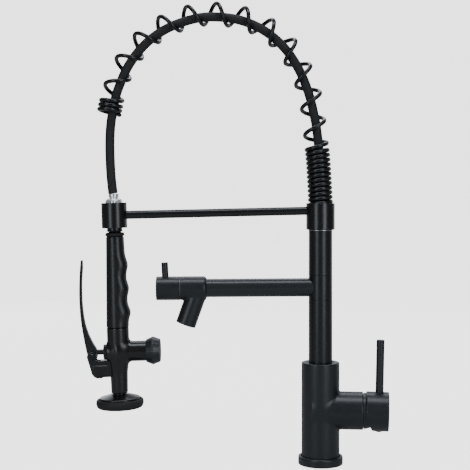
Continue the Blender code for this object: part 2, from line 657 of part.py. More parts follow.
def make_spray_valve(spray):
    """Valve body with its branch, and the seat and passages inside it."""
    top = GRIP_BOTTOM - GAP
    body = turned("spray_valve_body",
                  [(0, top), (12.7, top), (13.1, top - 0.5), (13.1, -170.0), (11.4, -174.0),
                   (TAIL_R + 0.3, -186.0), (TAIL_R - 0.2, TAIL_BOTTOM), (0, TAIL_BOTTOM)],
                  "black_satin", spray, steps=FINE)
    axis = (0, 0, VALVE_AXIS)
    branch = turned("valve_branch", rod_profile(BRANCH_R, 0, 40.0), None, spray, axis, "+X",
                    steps=FINE)
    combine(body, branch, "UNION")
    chamber = [(0, 41.0), (8.6, 41.0), (8.6, -2.0), (5.0, -2.0), (5.0, -9.0),
               (STEM_R + 0.35, -9.0), (STEM_R + 0.35, -20.0), (0, -20.0)]
    carve(body, chamber, spray, axis, "+X")
    drill(body, 5.0, VALVE_AXIS + 2, top + 1, spray, (3.0, 0, 0), steps=PLAIN)
    drill(body, 3.3, TAIL_BOTTOM - 1, VALVE_AXIS, spray, (-5.6, 0, 0), steps=SMALL)
    turned("gland_nut", ring_profile(9.4, STEM_R + 0.35, 13.6, 17.4, 1.2), "black_satin", spray,
           axis, "-X", steps=PLAIN)
    turned("bonnet_cap_nut",
           [(0, 50.0), (13.4, 50.0), (14.6, 47.8), (15.7, 44.6), (16.5, 41.0), (13.4, 33.2),
            (BRANCH_R + GAP, 33.2), (BRANCH_R + GAP, 40.4), (5.2, 40.4), (5.2, 46.0), (0, 46.0)],
           "black_satin", spray, axis, "+X", steps=PLAIN)


def make_valve_inside(spray):
    axis = (0, 0, VALVE_AXIS)
    turned("valve_stem", rod_profile(STEM_R, 1.9, 25.2, 0.4), "black_satin", spray, axis, "-X",
           steps=PLAIN)
    turned("valve_poppet", rod_profile(6.4, -1.6, 1.6, 0.4), "rubber", spray, axis, "+X",
           steps=PLAIN)
    turns = 7
    points = []
    for i in range(turns * 7 + 1):
        angle = math.tau * i / 7
        share = i / (turns * 7)
        points.append((2.6 + 42.5 * share, 4.2 * math.cos(angle), 4.2 * math.sin(angle)))
    spring = tube_along("valve_spring", points, 0.5, "steel", 1)
    spring.parent = spray
    spring.location = Vector(axis) * MM


def make_spray_foot(spray):
    """Bell-shaped dish, jet plate and the rubber bumper round its rim."""
    top = TAIL_BOTTOM - GAP
    turned("spray_dish",
           [(7.6, top), (7.6, -212.3), (10.6, -212.4), (23.8, -216.3), (24.4, -217.0),
            (24.4, -220.2), (22.4, -220.2), (21.0, -218.4), (3.4, -218.4), (3.4, top)],
           "black_satin", spray, steps=FINE)
    turned("spray_plate", [(0, -221.5), (18.4, -221.5), (18.4, -225.6), (17.6, -226.4),
                           (0, -226.4)], "black_grip", spray, steps=FINE)
    turned("bumper_ring",
           [(24.8, -218.0), (26.2, -218.4), (27.7, -220.2), (28.3, -222.6), (27.8, -225.2),
            (26.2, -227.4), (23.6, -228.7), (21.0, -228.7), (19.2, -227.4), (18.8, -225.4),
            (18.8, -220.8), (24.8, -220.8)], "rubber", spray, steps=FINE)


# ---------------------------------------------------------------- trigger

def make_yoke(spray):
    """Bracket on the valve body: two cheeks joined at the foot, with the trigger between them."""
    nose = arc(9.0, 185.0, 262.0, 6, (-23.4, -183.6))
    ear = arc(5.2, -20.0, 180.0, 7, (-PIVOT_OUT, PIVOT_AT))
    outline = [(-8.0, -171.8), (-24.8, -171.8)] + ear + nose
    outline += [(-20.4, -192.5), (-17.6, -191.2), (-8.0, -191.2)]
    yoke = plate("lever_yoke", outline, 15.0, "black_satin", spray)
    cut_box(yoke, (23.0, 8.6, 26.0), spray, (-33.0, 0, -168.0))
    drill(yoke, 14.0, -215.0, -150.0, spray, steps=FINE)
    pivot = (-PIVOT_OUT, 0, PIVOT_AT)
    drill(yoke, 2.3, -12, 12, spray, pivot, "+Y", steps=PLAIN)
    turned("pivot_screw", [(0, 9.9), (3.5, 9.9), (3.9, 9.4), (3.9, 7.9), (2.0, 7.9), (2.0, -7.2),
                           (0, -7.2)], "black_satin", spray, pivot, "-Y", steps=PLAIN)


def make_trigger(spray):
    """Curved paddle in front of the grip, on the yoke's pivot."""
    pivot = (-PIVOT_OUT, 0, PIVOT_AT)
    outer = [(-4.6, -1.0), (-6.6, 7.0), (-8.9, 20.0), (-11.0, 34.0), (-12.4, 48.0),
             (-13.2, 66.0), (-12.8, 84.0), (-11.5, 101.0), (-10.1, 114.0)]
    inner = [(-8.2, 115.0), (-8.1, 108.0), (-9.3, 96.0), (-9.9, 82.0), (-9.9, 66.0),
             (-9.0, 52.0), (-6.9, 38.0), (-3.2, 26.0), (1.4, 16.0), (5.3, 9.6), (5.7, 3.0)]
    foot = arc(5.0, 10.0, -200.0, 8)
    blade = plate("trigger_lever", outer + inner + foot[1:-1], 8.0, "black_satin", spray, pivot)
    drill(blade, 2.3, -12, 12, spray, pivot, "+Y", steps=PLAIN)


# ---------------------------------------------------------------- assembly

def build():
    global PARTS, CUTTERS
    clear_scene()
    PARTS = new_collection("spring_kitchen_faucet")
    CUTTERS = new_collection("cutters")
    mixer = frame("mixer_frame", yaw=HANDLE_YAW)
    handle = frame("handle_frame", (TILT_CENTRE, 0, HANDLE_Z), tilt=LEVER_LEAN, parent=mixer)
    spout = frame("spout_frame", (0, 0, SPOUT_Z), tilt=-SPOUT_DROOP)
    rod = frame("rod_frame", (0, 0, ROD_Z), tilt=-ROD_DROOP)
    dock = frame("dock_frame", (DOCK_X, 0, DOCK_Z), tilt=-SPRAY_TILT)
    spray = frame("spray_frame", (DOCK_X, 0, DOCK_Z), tilt=-SPRAY_TILT)
    make_base()
    make_body(mixer)
    make_cartridge(mixer)
    make_column_seat(mixer)
    make_rotor(mixer)
    make_handle(handle)
    make_column()
    make_clamp(rod)
    make_rod_and_dock(rod, dock)
    make_hose()
    make_spring()
    make_spout(spout)
    make_spout_knob(spout)
    make_spray_top(spray)
    make_grip(spray)
    make_spray_valve(spray)
    make_valve_inside(spray)
    make_spray_foot(spray)
    make_yoke(spray)
    make_trigger(spray)


build()
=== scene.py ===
"""Looks of the spring kitchen faucet: detailed pieces and procedural materials on the CAD frame.

Places and outlines are in millimetres in the frames that the CAD model uses, and are turned into
metres where a mesh is made. Turned pieces are revolved profiles with rounded corners. Castings
with blended joints are remeshed and pulled onto a distance function.
"""
import json
import math

import bmesh
import bpy
import numpy as np
from mathutils import Matrix, Vector


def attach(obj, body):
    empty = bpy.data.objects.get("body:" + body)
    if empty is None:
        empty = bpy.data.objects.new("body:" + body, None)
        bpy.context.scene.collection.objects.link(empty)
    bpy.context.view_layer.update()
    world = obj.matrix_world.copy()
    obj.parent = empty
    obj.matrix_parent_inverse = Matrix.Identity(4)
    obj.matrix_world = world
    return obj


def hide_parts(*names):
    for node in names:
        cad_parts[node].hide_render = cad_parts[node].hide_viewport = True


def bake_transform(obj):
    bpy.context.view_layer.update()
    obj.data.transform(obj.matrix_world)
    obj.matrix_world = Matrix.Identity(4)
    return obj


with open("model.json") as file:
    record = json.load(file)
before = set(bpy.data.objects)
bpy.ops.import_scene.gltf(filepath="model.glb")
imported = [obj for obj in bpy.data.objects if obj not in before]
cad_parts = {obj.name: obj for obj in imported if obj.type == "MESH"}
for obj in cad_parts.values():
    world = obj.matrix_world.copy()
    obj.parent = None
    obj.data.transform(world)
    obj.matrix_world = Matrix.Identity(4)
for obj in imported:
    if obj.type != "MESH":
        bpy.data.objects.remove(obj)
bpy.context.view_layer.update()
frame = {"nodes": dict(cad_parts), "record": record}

MM = 0.001
ROUND = 96                     # segments round a turned piece
SMALL_ROUND = 48               # and round a small one
HOLE_ROUND = 32
CORNER = 5                     # segments round a softened corner
CORNER_SHARE = 0.48            # most of a side that one rounding may take
SHARP = math.radians(35)
BOOLEAN_SCALE = 0.1            # millimetre meshes are shrunk to this for a Boolean
SPLINE_STEPS = 20              # samples between two points of a smooth route
CAP_TURNS = (0.3, 0.6, 1.0, 1.35)   # radians round the rounded end of a bar
GRADIENT_STEP = 0.02
SLOPE_FLOOR = 0.05             # least squared slope that a move is divided by
BEYOND = 20                    # how far most cutters run past the face they open

# Mixer body and handle
BODY_R = 22.5
BODY_BOTTOM = 4.3
BODY_TOP = 120.4
HANDLE_YAW = -6.0              # degrees
HANDLE_Z = 63.5
HOUSING_R = 22.3
HOUSING_END = 50.4
SPIGOT = (20.5, 0.0, 12.0)     # radius, start, end
SEAT = (16.1, 88.5, BODY_TOP + BEYOND)
MOUTH = (20.0, 40.0, HOUSING_END + BEYOND)
CHAMBER_R = 17.8
CHAMBER_START = 20.0
DECK_HOLES = [(9, 10, 3.6), (9, -10, 3.6), (-9, 10, 3.4), (-9, -10, 3.4)]   # x, y, radius
BODY_FILLET = 2.4
BODY_VOXEL = 0.8
DOME_R = 21.15
DOME_LINING_R = 19.3
DOME_MOUTH_R = 18.0
HUB_R = 23.0
HUB_START = 3.0                # from the dome's centre
HUB_END = 30.2
HUB_RELIEF = -25.0             # degrees
LEVER_LEAN = 1.2               # degrees
LEVER_AT = 18.8
LEVER_R = 4.75
CAP_RISE = 1.4                 # of the index cap past the hub
CAP_CURVE = 9.6

# Column and second spout
COLUMN_R = 14.0
SPOUT_Z = 209.5
SPOUT_DROOP = 0.4              # degrees
SPOUT_R = 10.9
VALVE_R = 14.1
VALVE_INNER = 135.2
VALVE_OUTER = 166.0
VALVE_TAPER = 2.4
CONE_SLOPE = 0.707             # turns a height over a 45 degree cone into a distance
NOZZLE_AT = 145.0
NOZZLE_LEAN = 20.0             # degrees
NOZZLE_R = 12.0
NOZZLE_LENGTH = 46.0
TUBE_SOCKET = (SPOUT_R + 0.3, 120.0, 143.4)
VALVE_BORE = (10.6, 149.0, VALVE_OUTER + BEYOND)
NOZZLE_BORE = (10.4, 18.0, NOZZLE_LENGTH + BEYOND)
NOZZLE_FILLET = 2.0
SPOUT_VOXEL = 0.5
KNOB_START = VALVE_OUTER + 1.5
KNOB_END = 195.3
KNOB_PIN_R = 4.0
KNOB_PIN_AT = 184.0
KNOB_PIN_LEAN = 2.4            # degrees

# Rod, dock and spray
ROD_Z = 300.8
ROD_DROOP = 1.3                # degrees
ROD_R = 5.0
DOCK = (-245.4, 0, 295.0)
DOCK_R = 15.1
SPRAY_TILT = 1.78              # degrees
NUT_FLAT = 9.55                # half the width across the flats
GRIP_TOP = -25.3
GRIP_BOTTOM = -132.8
GRIP_TOP_R = 10.6
GRIP_FLARE = 2.75
GRIP_BORE = 7.6
GRIP_WALL = 11.0               # marks the wall's points, whose radius grip_radius gives
GRIP_CHAMFER = 0.6
FINGER_BUMPS = [(-59.0, 2.8, 8.8), (-86.8, 2.7, 8.2), (-115.5, 3.1, 7.8)]   # at, size, width
VALVE_TOP = -133.1
VALVE_FOOT = -211.0
VALVE_WIDTHS = [(-216.0, 9.9), (VALVE_FOOT, 9.9), (-187.0, 10.4), (-174.5, 11.9), (-169.5, 13.0),
                (VALVE_TOP, 13.1)]     # height, radius
WALL_SLOPE = 0.98              # turns a reach past the sloping wall into a distance
VALVE_AXIS = -162.0
BRANCH_R = 12.0
BRANCH_END = 40.0
BRANCH_BORE = (8.6, 5.0, 60.0)
BOSS_R = 10.0
BRANCH_FILLET = 5.0
BOSS_FILLET = 4.0
STEM_BORE = (3.6, 4.0, 40.0)
SPRAY_VOXEL = 0.55
GLAND_FLAT = 8.6               # half the width across the flats
KNURL_FROM = 34.5
KNURL_TO = 48.6
KNURL_FADE = 1.5
KNURL_DEPTH = 0.16
KNURL_RIBS = 40
VALVE_SPRING = (2.6, 45.1)     # along the branch
VALVE_SPRING_TURNS = 7
VALVE_COIL_R = 4.2
VALVE_WIRE_R = 0.5
JET_ROWS = [(4.5, 6), (9.0, 12), (13.5, 18)]   # radius, count
PIVOT = (-31.2, 0, -166.8)
PIVOT_HOLE_R = 2.3
YOKE_VOXEL = 0.45
YOKE_SMOOTHING = 5

# Spring and hose
WIRE_R = 2.5
COIL_R = 12.6
SPRING_DROP = 0.22             # keeps the top of the arch inside the CAD box
HOSE_R = 5.6
TIGHT_PITCH = 5.5
OPEN_PITCH = 32.0
END_PITCH = 5.3
TIGHT_TURNS = 11.8
OPEN_TURNS = 12.7
END_TURNS = 3.5
OPENING_OVER = 1.5
CLOSING_OVER = 0.9
POINTS_PER_TURN = 40
DIRECTION_REACH = 6            # route points each way that give the coil's direction
SPRING_ROUTE = [
    (0.0, 308.6), (-0.2, 315.7), (-1.5, 340.7), (-3.2, 365.7), (-5.7, 387.1), (-8.0, 408.5),
    (-12.8, 439.1), (-23.3, 468.3), (-40.0, 496.0), (-63.9, 517.4), (-94.1, 530.4),
    (-126.7, 534.9), (-153.0, 532.2), (-184.1, 521.0), (-211.1, 502.3), (-231.6, 476.6),
    (-244.4, 446.7), (-249.6, 426.4), (-252.2, 412.0), (-253.2, 400.0),
]
HOSE_ROUTE = [
    (0.0, 306.6), (0.0, 316.0), (-0.9, 340.0), (-1.7, 366.0), (-2.6, 382.0), (-4.3, 395.7),
    (-6.3, 408.5), (-13.6, 438.8), (-24.9, 467.1), (-42.2, 493.4), (-65.8, 514.1),
    (-95.0, 527.1), (-126.7, 531.2), (-152.1, 528.4), (-182.1, 517.6), (-208.0, 499.2),
    (-227.8, 474.1), (-240.7, 445.5), (-245.8, 426.4), (-248.8, 408.5), (-250.2, 394.2),
    (-250.6, 376.4), (-250.1, 358.5), (-249.0, 340.0), (-246.9, 321.3),
]

# Studio and camera, in metres
BACKDROP = 2.8                 # brightness of the studio as the camera sees it
STUDIO_FILL = 0.12             # and as a light on the object
FLOOR_GREY = 0.34
FLOOR_SIZE = 6.0
FLOOR_DROP = 0.0005
LIGHT_COLOUR = (0.93, 0.98, 1.05)
LIGHT_AIM = (-0.10, 0.0, 0.28)
LIGHTS = [                     # name, azimuth, height, distance, width and height, radiance
    ("soft_box_left", -36.0, 0.45, 1.5, (0.5, 1.5), 2.7),
    ("soft_box_right", 34.0, 0.45, 1.5, (0.6, 1.5), 2.9),
    ("overhead", 0.0, 1.60, 1.35, (1.2, 0.5), 5.0),
    ("back_top", 180.0, 1.35, 1.45, (1.4, 0.5), 3.2),
    ("back_panel", 180.0, 0.45, 1.7, (1.8, 0.6), 0.9),
    ("back_left", 205.0, 0.6, 1.9, (0.7, 1.4), 1.0),
    ("back_right", 130.0, 0.6, 1.9, (0.7, 1.4), 1.0),
]
CAMERA_AT = (-0.1017, -1.285, 0.320)
CAMERA_LENS = 82.7
CAMERA_SHIFT = -0.0865


def tilted(location, degrees):
    """A frame at a place, leaning about Y."""
    return Matrix.Translation(location) @ Matrix.Rotation(math.radians(degrees), 4, "Y")


WORLD = Matrix.Identity(4)
MIXER = Matrix.Rotation(math.radians(HANDLE_YAW), 4, "Z")
HANDLE = MIXER @ tilted((HOUSING_END, 0, HANDLE_Z), LEVER_LEAN)
SPOUT = tilted((0, 0, SPOUT_Z), -SPOUT_DROOP)
ROD = tilted((0, 0, ROD_Z), -ROD_DROOP)
SPRAY = tilted(DOCK, -SPRAY_TILT)

AIMS = {
    "+Z": Matrix.Identity(4),
    "-Z": Matrix.Rotation(math.pi, 4, "X"),
    "+X": Matrix.Rotation(math.pi / 2, 4, "Y"),
    "-X": Matrix.Rotation(-math.pi / 2, 4, "Y"),
    "+Y": Matrix.Rotation(-math.pi / 2, 4, "X"),
    "-Y": Matrix.Rotation(math.pi / 2, 4, "X"),
}


def aimed(base, at=(0, 0, 0), aim="+Z"):
    """A frame at a place in another one, turned to one of its axes or by a matrix."""
    turn = AIMS[aim] if isinstance(aim, str) else aim
    return base @ Matrix.Translation(at) @ turn


# Frames whose Z runs along a piece
HOUSING = aimed(MIXER, (0, 0, HANDLE_Z), "+X")
LEVER = aimed(HANDLE, (LEVER_AT, 0, 0))
UNDER_HUB = aimed(HANDLE, (LEVER_AT, 0, 0), "-Z")
ROD_OUT = aimed(ROD, aim="-X")
SPOUT_OUT = aimed(SPOUT, aim="-X")
NOZZLE = aimed(SPOUT, (-NOZZLE_AT, 0, 0),
               Matrix.Rotation(math.radians(180 + NOZZLE_LEAN), 4, "Y"))
BRANCH = aimed(SPRAY, (0, 0, VALVE_AXIS), "+X")
STEM = aimed(SPRAY, (0, 0, VALVE_AXIS), "-X")
PIVOT_PIN = aimed(SPRAY, PIVOT, "+Y")


# ---------------------------------------------------------------- materials

MIDDLE = (0.3, 0.7)            # where most of a noise texture's values lie
COAT_ROUGHNESS = 0.12
GRAIN_STRENGTH = 0.2
HIGHLIGHT_POINTINESS = (0.52, 0.62)       # pointiness at which the painted edge highlight starts, and where it is full
HIGHLIGHT_MOST = 0.6
TOOLED = {"blotch": 35.0, "grain": (2600.0, 0.00006)}


def link(tree, source, target):
    tree.links.new(source, target)


def noise(tree, scale, detail=4.0, roughness=0.6):
    """A noise texture in the object's own coordinates."""
    coordinates = tree.nodes.new("ShaderNodeTexCoord")
    texture = tree.nodes.new("ShaderNodeTexNoise")
    texture.inputs["Scale"].default_value = scale
    texture.inputs["Detail"].default_value = detail
    texture.inputs["Roughness"].default_value = roughness
    link(tree, coordinates.outputs["Object"], texture.inputs["Vector"])
    return texture.outputs["Fac"]


def ranged(tree, value, low, high):
    """Spreads a texture's middle range over low to high."""
    scaled = tree.nodes.new("ShaderNodeMapRange")
    scaled.inputs["From Min"].default_value = MIDDLE[0]
    scaled.inputs["From Max"].default_value = MIDDLE[1]
    scaled.inputs["To Min"].default_value = low
    scaled.inputs["To Max"].default_value = high
    link(tree, value, scaled.inputs["Value"])
    return scaled.outputs["Result"]


def finish(name, dark, light, rough, metallic=0.0, specular=0.5, coat=0.0, blotch=60.0,
           grain=(1400.0, 0.00012), highlight_colour=None):
    """A finish with mottled colour, uneven roughness, a fine grain and, if asked, painted
    highlights on convex edges.
    """
    made = bpy.data.materials.new(name)
    made.use_nodes = True
    tree = made.node_tree
    shader = tree.nodes["Principled BSDF"]
    shader.inputs["Metallic"].default_value = metallic
    shader.inputs["Specular IOR Level"].default_value = specular
    shader.inputs["Coat Weight"].default_value = coat
    shader.inputs["Coat Roughness"].default_value = COAT_ROUGHNESS
    mottle = noise(tree, blotch)
    mix = tree.nodes.new("ShaderNodeMix")
    mix.data_type = "RGBA"
    mix.inputs["A"].default_value = (*dark, 1.0)
    mix.inputs["B"].default_value = (*light, 1.0)
    link(tree, mottle, mix.inputs["Factor"])
    colour = mix.outputs["Result"]
    if highlight_colour:
        colour = paint_edge_highlight(tree, colour, highlight_colour)
    link(tree, colour, shader.inputs["Base Color"])
    link(tree, ranged(tree, noise(tree, blotch * 3.0), *rough), shader.inputs["Roughness"])
    bump = tree.nodes.new("ShaderNodeBump")
    bump.inputs["Strength"].default_value = GRAIN_STRENGTH
    bump.inputs["Distance"].default_value = grain[1]
    link(tree, noise(tree, grain[0], 3.0), bump.inputs["Height"])
    link(tree, bump.outputs["Normal"], shader.inputs["Normal"])
    return made


def paint_edge_highlight(tree, colour, highlight_colour):
    """Lightens convex edges a little: a painted highlight where light would catch them."""
    geometry = tree.nodes.new("ShaderNodeNewGeometry")
    mask = tree.nodes.new("ShaderNodeMapRange")
    mask.inputs["From Min"].default_value = HIGHLIGHT_POINTINESS[0]
    mask.inputs["From Max"].default_value = HIGHLIGHT_POINTINESS[1]
    mask.inputs["To Max"].default_value = HIGHLIGHT_MOST
    link(tree, geometry.outputs["Pointiness"], mask.inputs["Value"])
    mix = tree.nodes.new("ShaderNodeMix")
    mix.data_type = "RGBA"
    mix.inputs["B"].default_value = (*highlight_colour, 1.0)
    link(tree, mask.outputs["Result"], mix.inputs["Factor"])
    link(tree, colour, mix.inputs["A"])
    return mix.outputs["Result"]


def turned_metal(name, dark, light, rough):
    """Bare metal with fine tool marks."""
    return finish(name, dark, light, rough, metallic=1.0, **TOOLED)


# The edge colours given to some finishes are painted highlights on convex edges.
MATERIALS = {
    "black_satin": finish("black_satin", (0.0048, 0.0064, 0.0082), (0.0074, 0.0096, 0.0120),
                          (0.27, 0.33), specular=0.5, highlight_colour=(0.032, 0.036, 0.040)),
    "powder_coat": finish("powder_coat", (0.0070, 0.0095, 0.0124), (0.0100, 0.0131, 0.0168),
                          (0.33, 0.40), specular=0.6, highlight_colour=(0.036, 0.040, 0.044)),
    "dull_steel": turned_metal("dull_steel", (0.10, 0.105, 0.11), (0.14, 0.145, 0.15),
                               (0.40, 0.48)),
    "sheen": finish("sheen", (0.0028, 0.0038, 0.0050), (0.0046, 0.0060, 0.0076),
                    (0.23, 0.28), specular=0.6, highlight_colour=(0.030, 0.034, 0.038)),
    "black_gloss": finish("black_gloss", (0.005, 0.005, 0.006), (0.008, 0.008, 0.009),
                          (0.20, 0.28), specular=0.45, coat=0.08, grain=(1800.0, 0.0001)),
    "black_grip": finish("black_grip", (0.0062, 0.0078, 0.0092), (0.0092, 0.0112, 0.0130),
                         (0.26, 0.33), grain=(2200.0, 0.0003)),
    "rubber": finish("rubber", (0.013, 0.013, 0.0135), (0.018, 0.018, 0.0185), (0.58, 0.70),
                     specular=0.4, grain=(2600.0, 0.0005)),
    "chrome": finish("chrome", (0.90, 0.91, 0.93), (0.95, 0.96, 0.98), (0.12, 0.18),
                     metallic=0.65, **TOOLED),
    "steel": turned_metal("steel", (0.40, 0.41, 0.43), (0.48, 0.49, 0.51), (0.24, 0.34)),
    "brass": turned_metal("brass", (0.60, 0.45, 0.20), (0.68, 0.53, 0.27), (0.28, 0.38)),
    "white_plastic": finish("white_plastic", (0.74, 0.74, 0.72), (0.82, 0.82, 0.80),
                            (0.40, 0.50)),
}

# Pieces whose finish is not their slot's own
LOOKS = {"seam_ring": "dull_steel"}
LOOKS.update(dict.fromkeys((
    "base_ring", "body", "bonnet_dome", "handle_hub", "handle_lever", "spout_valve_casting",
    "spout_knob", "bonnet_cap_nut"), "powder_coat"))
LOOKS.update(dict.fromkeys((
    "top_clamp", "dock_ring", "spray_connector", "spray_valve_body", "gland_nut", "spray_dish",
    "valve_stem", "trigger_lever", "lever_yoke", "pivot_screw", "support_rod"), "sheen"))


def dress_frame():
    """Gives each CAD node the procedural finish of its slot."""
    for part in frame["record"]["subparts"]:
        mesh = frame["nodes"][part["node"]].data
        mesh.materials.clear()
        mesh.materials.append(MATERIALS[part["material_slot"]])


# ---------------------------------------------------------------- meshes

def add_piece(name, mesh, body, slot, nodes=None, flatten=True):
    """Links a piece made in millimetres and world axes, and puts it on its CAD body."""
    mesh.transform(Matrix.Scale(MM, 4))
    obj = bpy.data.objects.new(name, mesh)
    bpy.context.scene.collection.objects.link(obj)
    mesh.materials.clear()
    mesh.materials.append(MATERIALS[LOOKS.get(name, slot)])
    mesh.shade_smooth()
    mesh.set_sharp_from_angle(angle=SHARP)
    if flatten:
        even = obj.modifiers.new("even_normals", "WEIGHTED_NORMAL")
        even.keep_sharp = True
    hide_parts(*(nodes or [name]))
    if body:
        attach(obj, body)
    return obj


def soften(profile):
    """Rounds the corners of a profile of (radius, height, rounding) points."""
    corners = [(*p, 0.0)[:3] for p in profile]
    rounded = []
    for i, (r, h, size) in enumerate(corners):
        here = Vector((r, h))
        if size == 0 or (i in (0, len(corners) - 1) and corners[0][0] == 0):
            rounded.append(here)
            continue
        back = Vector(corners[i - 1][:2]) - here
        ahead = Vector(corners[(i + 1) % len(corners)][:2]) - here
        start = here + back.normalized() * min(size, back.length * CORNER_SHARE)
        end = here + ahead.normalized() * min(size, ahead.length * CORNER_SHARE)
        for k in range(CORNER + 1):
            t = k / CORNER
            rounded.append(start * (1 - t) ** 2 + here * (2 * t * (1 - t)) + end * t * t)
    return rounded


def revolve(profile, place, steps=ROUND, radius=None):
    """A mesh in millimetres from a profile, closed on the axis or into a ring."""
    points = soften(profile)
    closed = profile[0][0] > 0
    cage = bmesh.new()
    rings = []
    for point in points:
        if point.x < 1e-6:
            rings.append([cage.verts.new(place @ Vector((0, 0, point.y)))])
            continue
        ring = []
        for k in range(steps):
            turn = math.tau * k / steps
            reach = radius(point.x, point.y, turn) if radius else point.x
            ring.append(cage.verts.new(
                place @ Vector((reach * math.cos(turn), reach * math.sin(turn), point.y))))
        rings.append(ring)
    pairs = list(zip(rings, rings[1:] + rings[:1] if closed else rings[1:]))
    for upper, lower in pairs:
        for k in range(steps):
            m = (k + 1) % steps
            if len(upper) == 1 and len(lower) == 1:
                break
            if len(upper) == 1:
                cage.faces.new((upper[0], lower[k], lower[m]))
            elif len(lower) == 1:
                cage.faces.new((upper[k], lower[0], upper[m]))
            else:
                cage.faces.new((upper[k], lower[k], lower[m], upper[m]))
    return to_mesh(cage)


def to_mesh(cage):
    bmesh.ops.remove_doubles(cage, verts=cage.verts, dist=0.001)
    bmesh.ops.recalc_face_normals(cage, faces=cage.faces)
    mesh = bpy.data.meshes.new("piece")
    cage.to_mesh(mesh)
    cage.free()
    return mesh


def turned(name, profile, place, body, slot, cuts=(), steps=ROUND, radius=None):
    """A turned piece; cuts are meshes taken away from it."""
    mesh = revolve(profile, place, steps, radius)
    for cutter in cuts:
        mesh = joined(mesh, cutter, "DIFFERENCE")
    return add_piece(name, mesh, body, slot)


def joined(mesh, other, operation):
    """The Boolean of two millimetre meshes, worked out at a smaller size."""
    pair = []
    for data in (mesh, other):
        data.transform(Matrix.Scale(BOOLEAN_SCALE, 4))
        obj = bpy.data.objects.new("boolean", data)
        bpy.context.scene.collection.objects.link(obj)
        pair.append(obj)
    boolean = pair[0].modifiers.new("boolean", "BOOLEAN")
    boolean.operation = operation
    boolean.object = pair[1]
    return evaluated(pair, 1 / BOOLEAN_SCALE)


def evaluated(objects, scale):
    """The first object's final mesh, scaled; the objects are removed."""
    graph = bpy.context.evaluated_depsgraph_get()
    made = bpy.data.meshes.new_from_object(objects[0].evaluated_get(graph))
    made.transform(Matrix.Scale(scale, 4))
    for obj in objects:
        data = obj.data
        bpy.data.objects.remove(obj, do_unlink=True)
        bpy.data.meshes.remove(data)
    return made


def solid_rod(radius, start, end, place, soft=0.0, steps=ROUND):
    return revolve([(0, end), (radius, end, soft), (radius, start, soft), (0, start)], place, steps)


def arc(radius, start, end, count, centre=(0.0, 0.0)):
    """Points round part of a circle, from one angle in degrees to another."""
    turns = [math.radians(start + (end - start) * i / (count - 1)) for i in range(count)]
    return [(centre[0] + radius * math.cos(t), centre[1] + radius * math.sin(t)) for t in turns]


def remeshed(mesh, voxel):
    """An even skin over the mesh, made of voxels of this size."""
    obj = bpy.data.objects.new("rough", mesh)
    bpy.context.scene.collection.objects.link(obj)
    remesh = obj.modifiers.new("remesh", "REMESH")
    remesh.mode = "VOXEL"
    remesh.voxel_size = voxel
    return evaluated([obj], 1.0)


def pulled(mesh, distance, rounds=7, reach=0.5):
    """Moves each point along the gradient onto the zero surface of a distance function."""
    points = np.empty(len(mesh.vertices) * 3, np.float32)
    mesh.vertices.foreach_get("co", points)
    points = points.reshape(-1, 3).astype(float)
    for _ in range(rounds):
        value = distance(points)
        slope = np.empty_like(points)
        for axis in range(3):
            shift = np.zeros(3)
            shift[axis] = GRADIENT_STEP
            rise = distance(points + shift) - distance(points - shift)
            slope[:, axis] = rise / (2 * GRADIENT_STEP)
        move = slope * (value / np.maximum((slope ** 2).sum(1), SLOPE_FLOOR))[:, None]
        length = np.linalg.norm(move, axis=1)
        move *= (np.minimum(1.0, reach / np.maximum(length, 1e-9)))[:, None]
        points -= move
    mesh.vertices.foreach_set("co", points.astype(np.float32).ravel())
    mesh.update()


# Distance functions in millimetres

def local(points, place):
    """World points in a frame's own coordinates."""
    back = np.array(place.inverted())
    return points @ back[:3, :3].T + back[:3, 3]


def rod_distance(points, place, radius, start, end, soft):
    """Distance to a capped cylinder along a frame's Z, with rounded rims."""
    p = local(points, place)
    across = np.hypot(p[:, 0], p[:, 1]) - radius + soft
    along = np.abs(p[:, 2] - (start + end) / 2) - (end - start) / 2 + soft
    outside = np.hypot(np.maximum(across, 0), np.maximum(along, 0))
    return outside + np.minimum(np.maximum(across, along), 0) - soft


def merge(a, b, size):
    """Smooth union with a fillet of about this size."""
    h = np.clip(0.5 + 0.5 * (b - a) / size, 0, 1)
    return b + (a - b) * h - size * h * (1 - h)


def remove(a, b, size):
    """Smooth difference, which rounds the rim of a hole."""
    return -merge(-a, b, size)


# ---------------------------------------------------------------- mixer

def make_base():
    turned("base_ring",
           [(24.4, 10.0, 0.8), (25.9, 9.5, 0.9), (26.5, 8.2, 0.9), (26.5, 0.4, 0.5), (26.1, 0.0),
            (25.1, 0), (25.1, 2.3), (20.9, 2.3), (20.9, 4.0), (23.1, 4.0), (23.1, 9.6, 0.4)],
           WORLD, "mixer_body", "black_satin")


def body_distance(points):
    """The upright body, its side housing, the column's seat and the cartridge chamber."""
    upright = rod_distance(points, WORLD, BODY_R, BODY_BOTTOM, BODY_TOP, 0.9)
    housing = rod_distance(points, HOUSING, HOUSING_R, -10.0, HOUSING_END, 1.0)
    shape = merge(upright, housing, BODY_FILLET)
    spigot = rod_distance(points, WORLD, *SPIGOT, 0.3)
    shape = np.minimum(shape, spigot)
    seat = rod_distance(points, WORLD, *SEAT, 0.2)
    mouth = rod_distance(points, HOUSING, *MOUTH, 0.2)
    chamber = rod_distance(points, HOUSING, CHAMBER_R, CHAMBER_START, HOUSING_END + BEYOND, 0.2)
    shape = remove(shape, seat, 0.8)
    return remove(shape, np.minimum(mouth, chamber), 0.8)


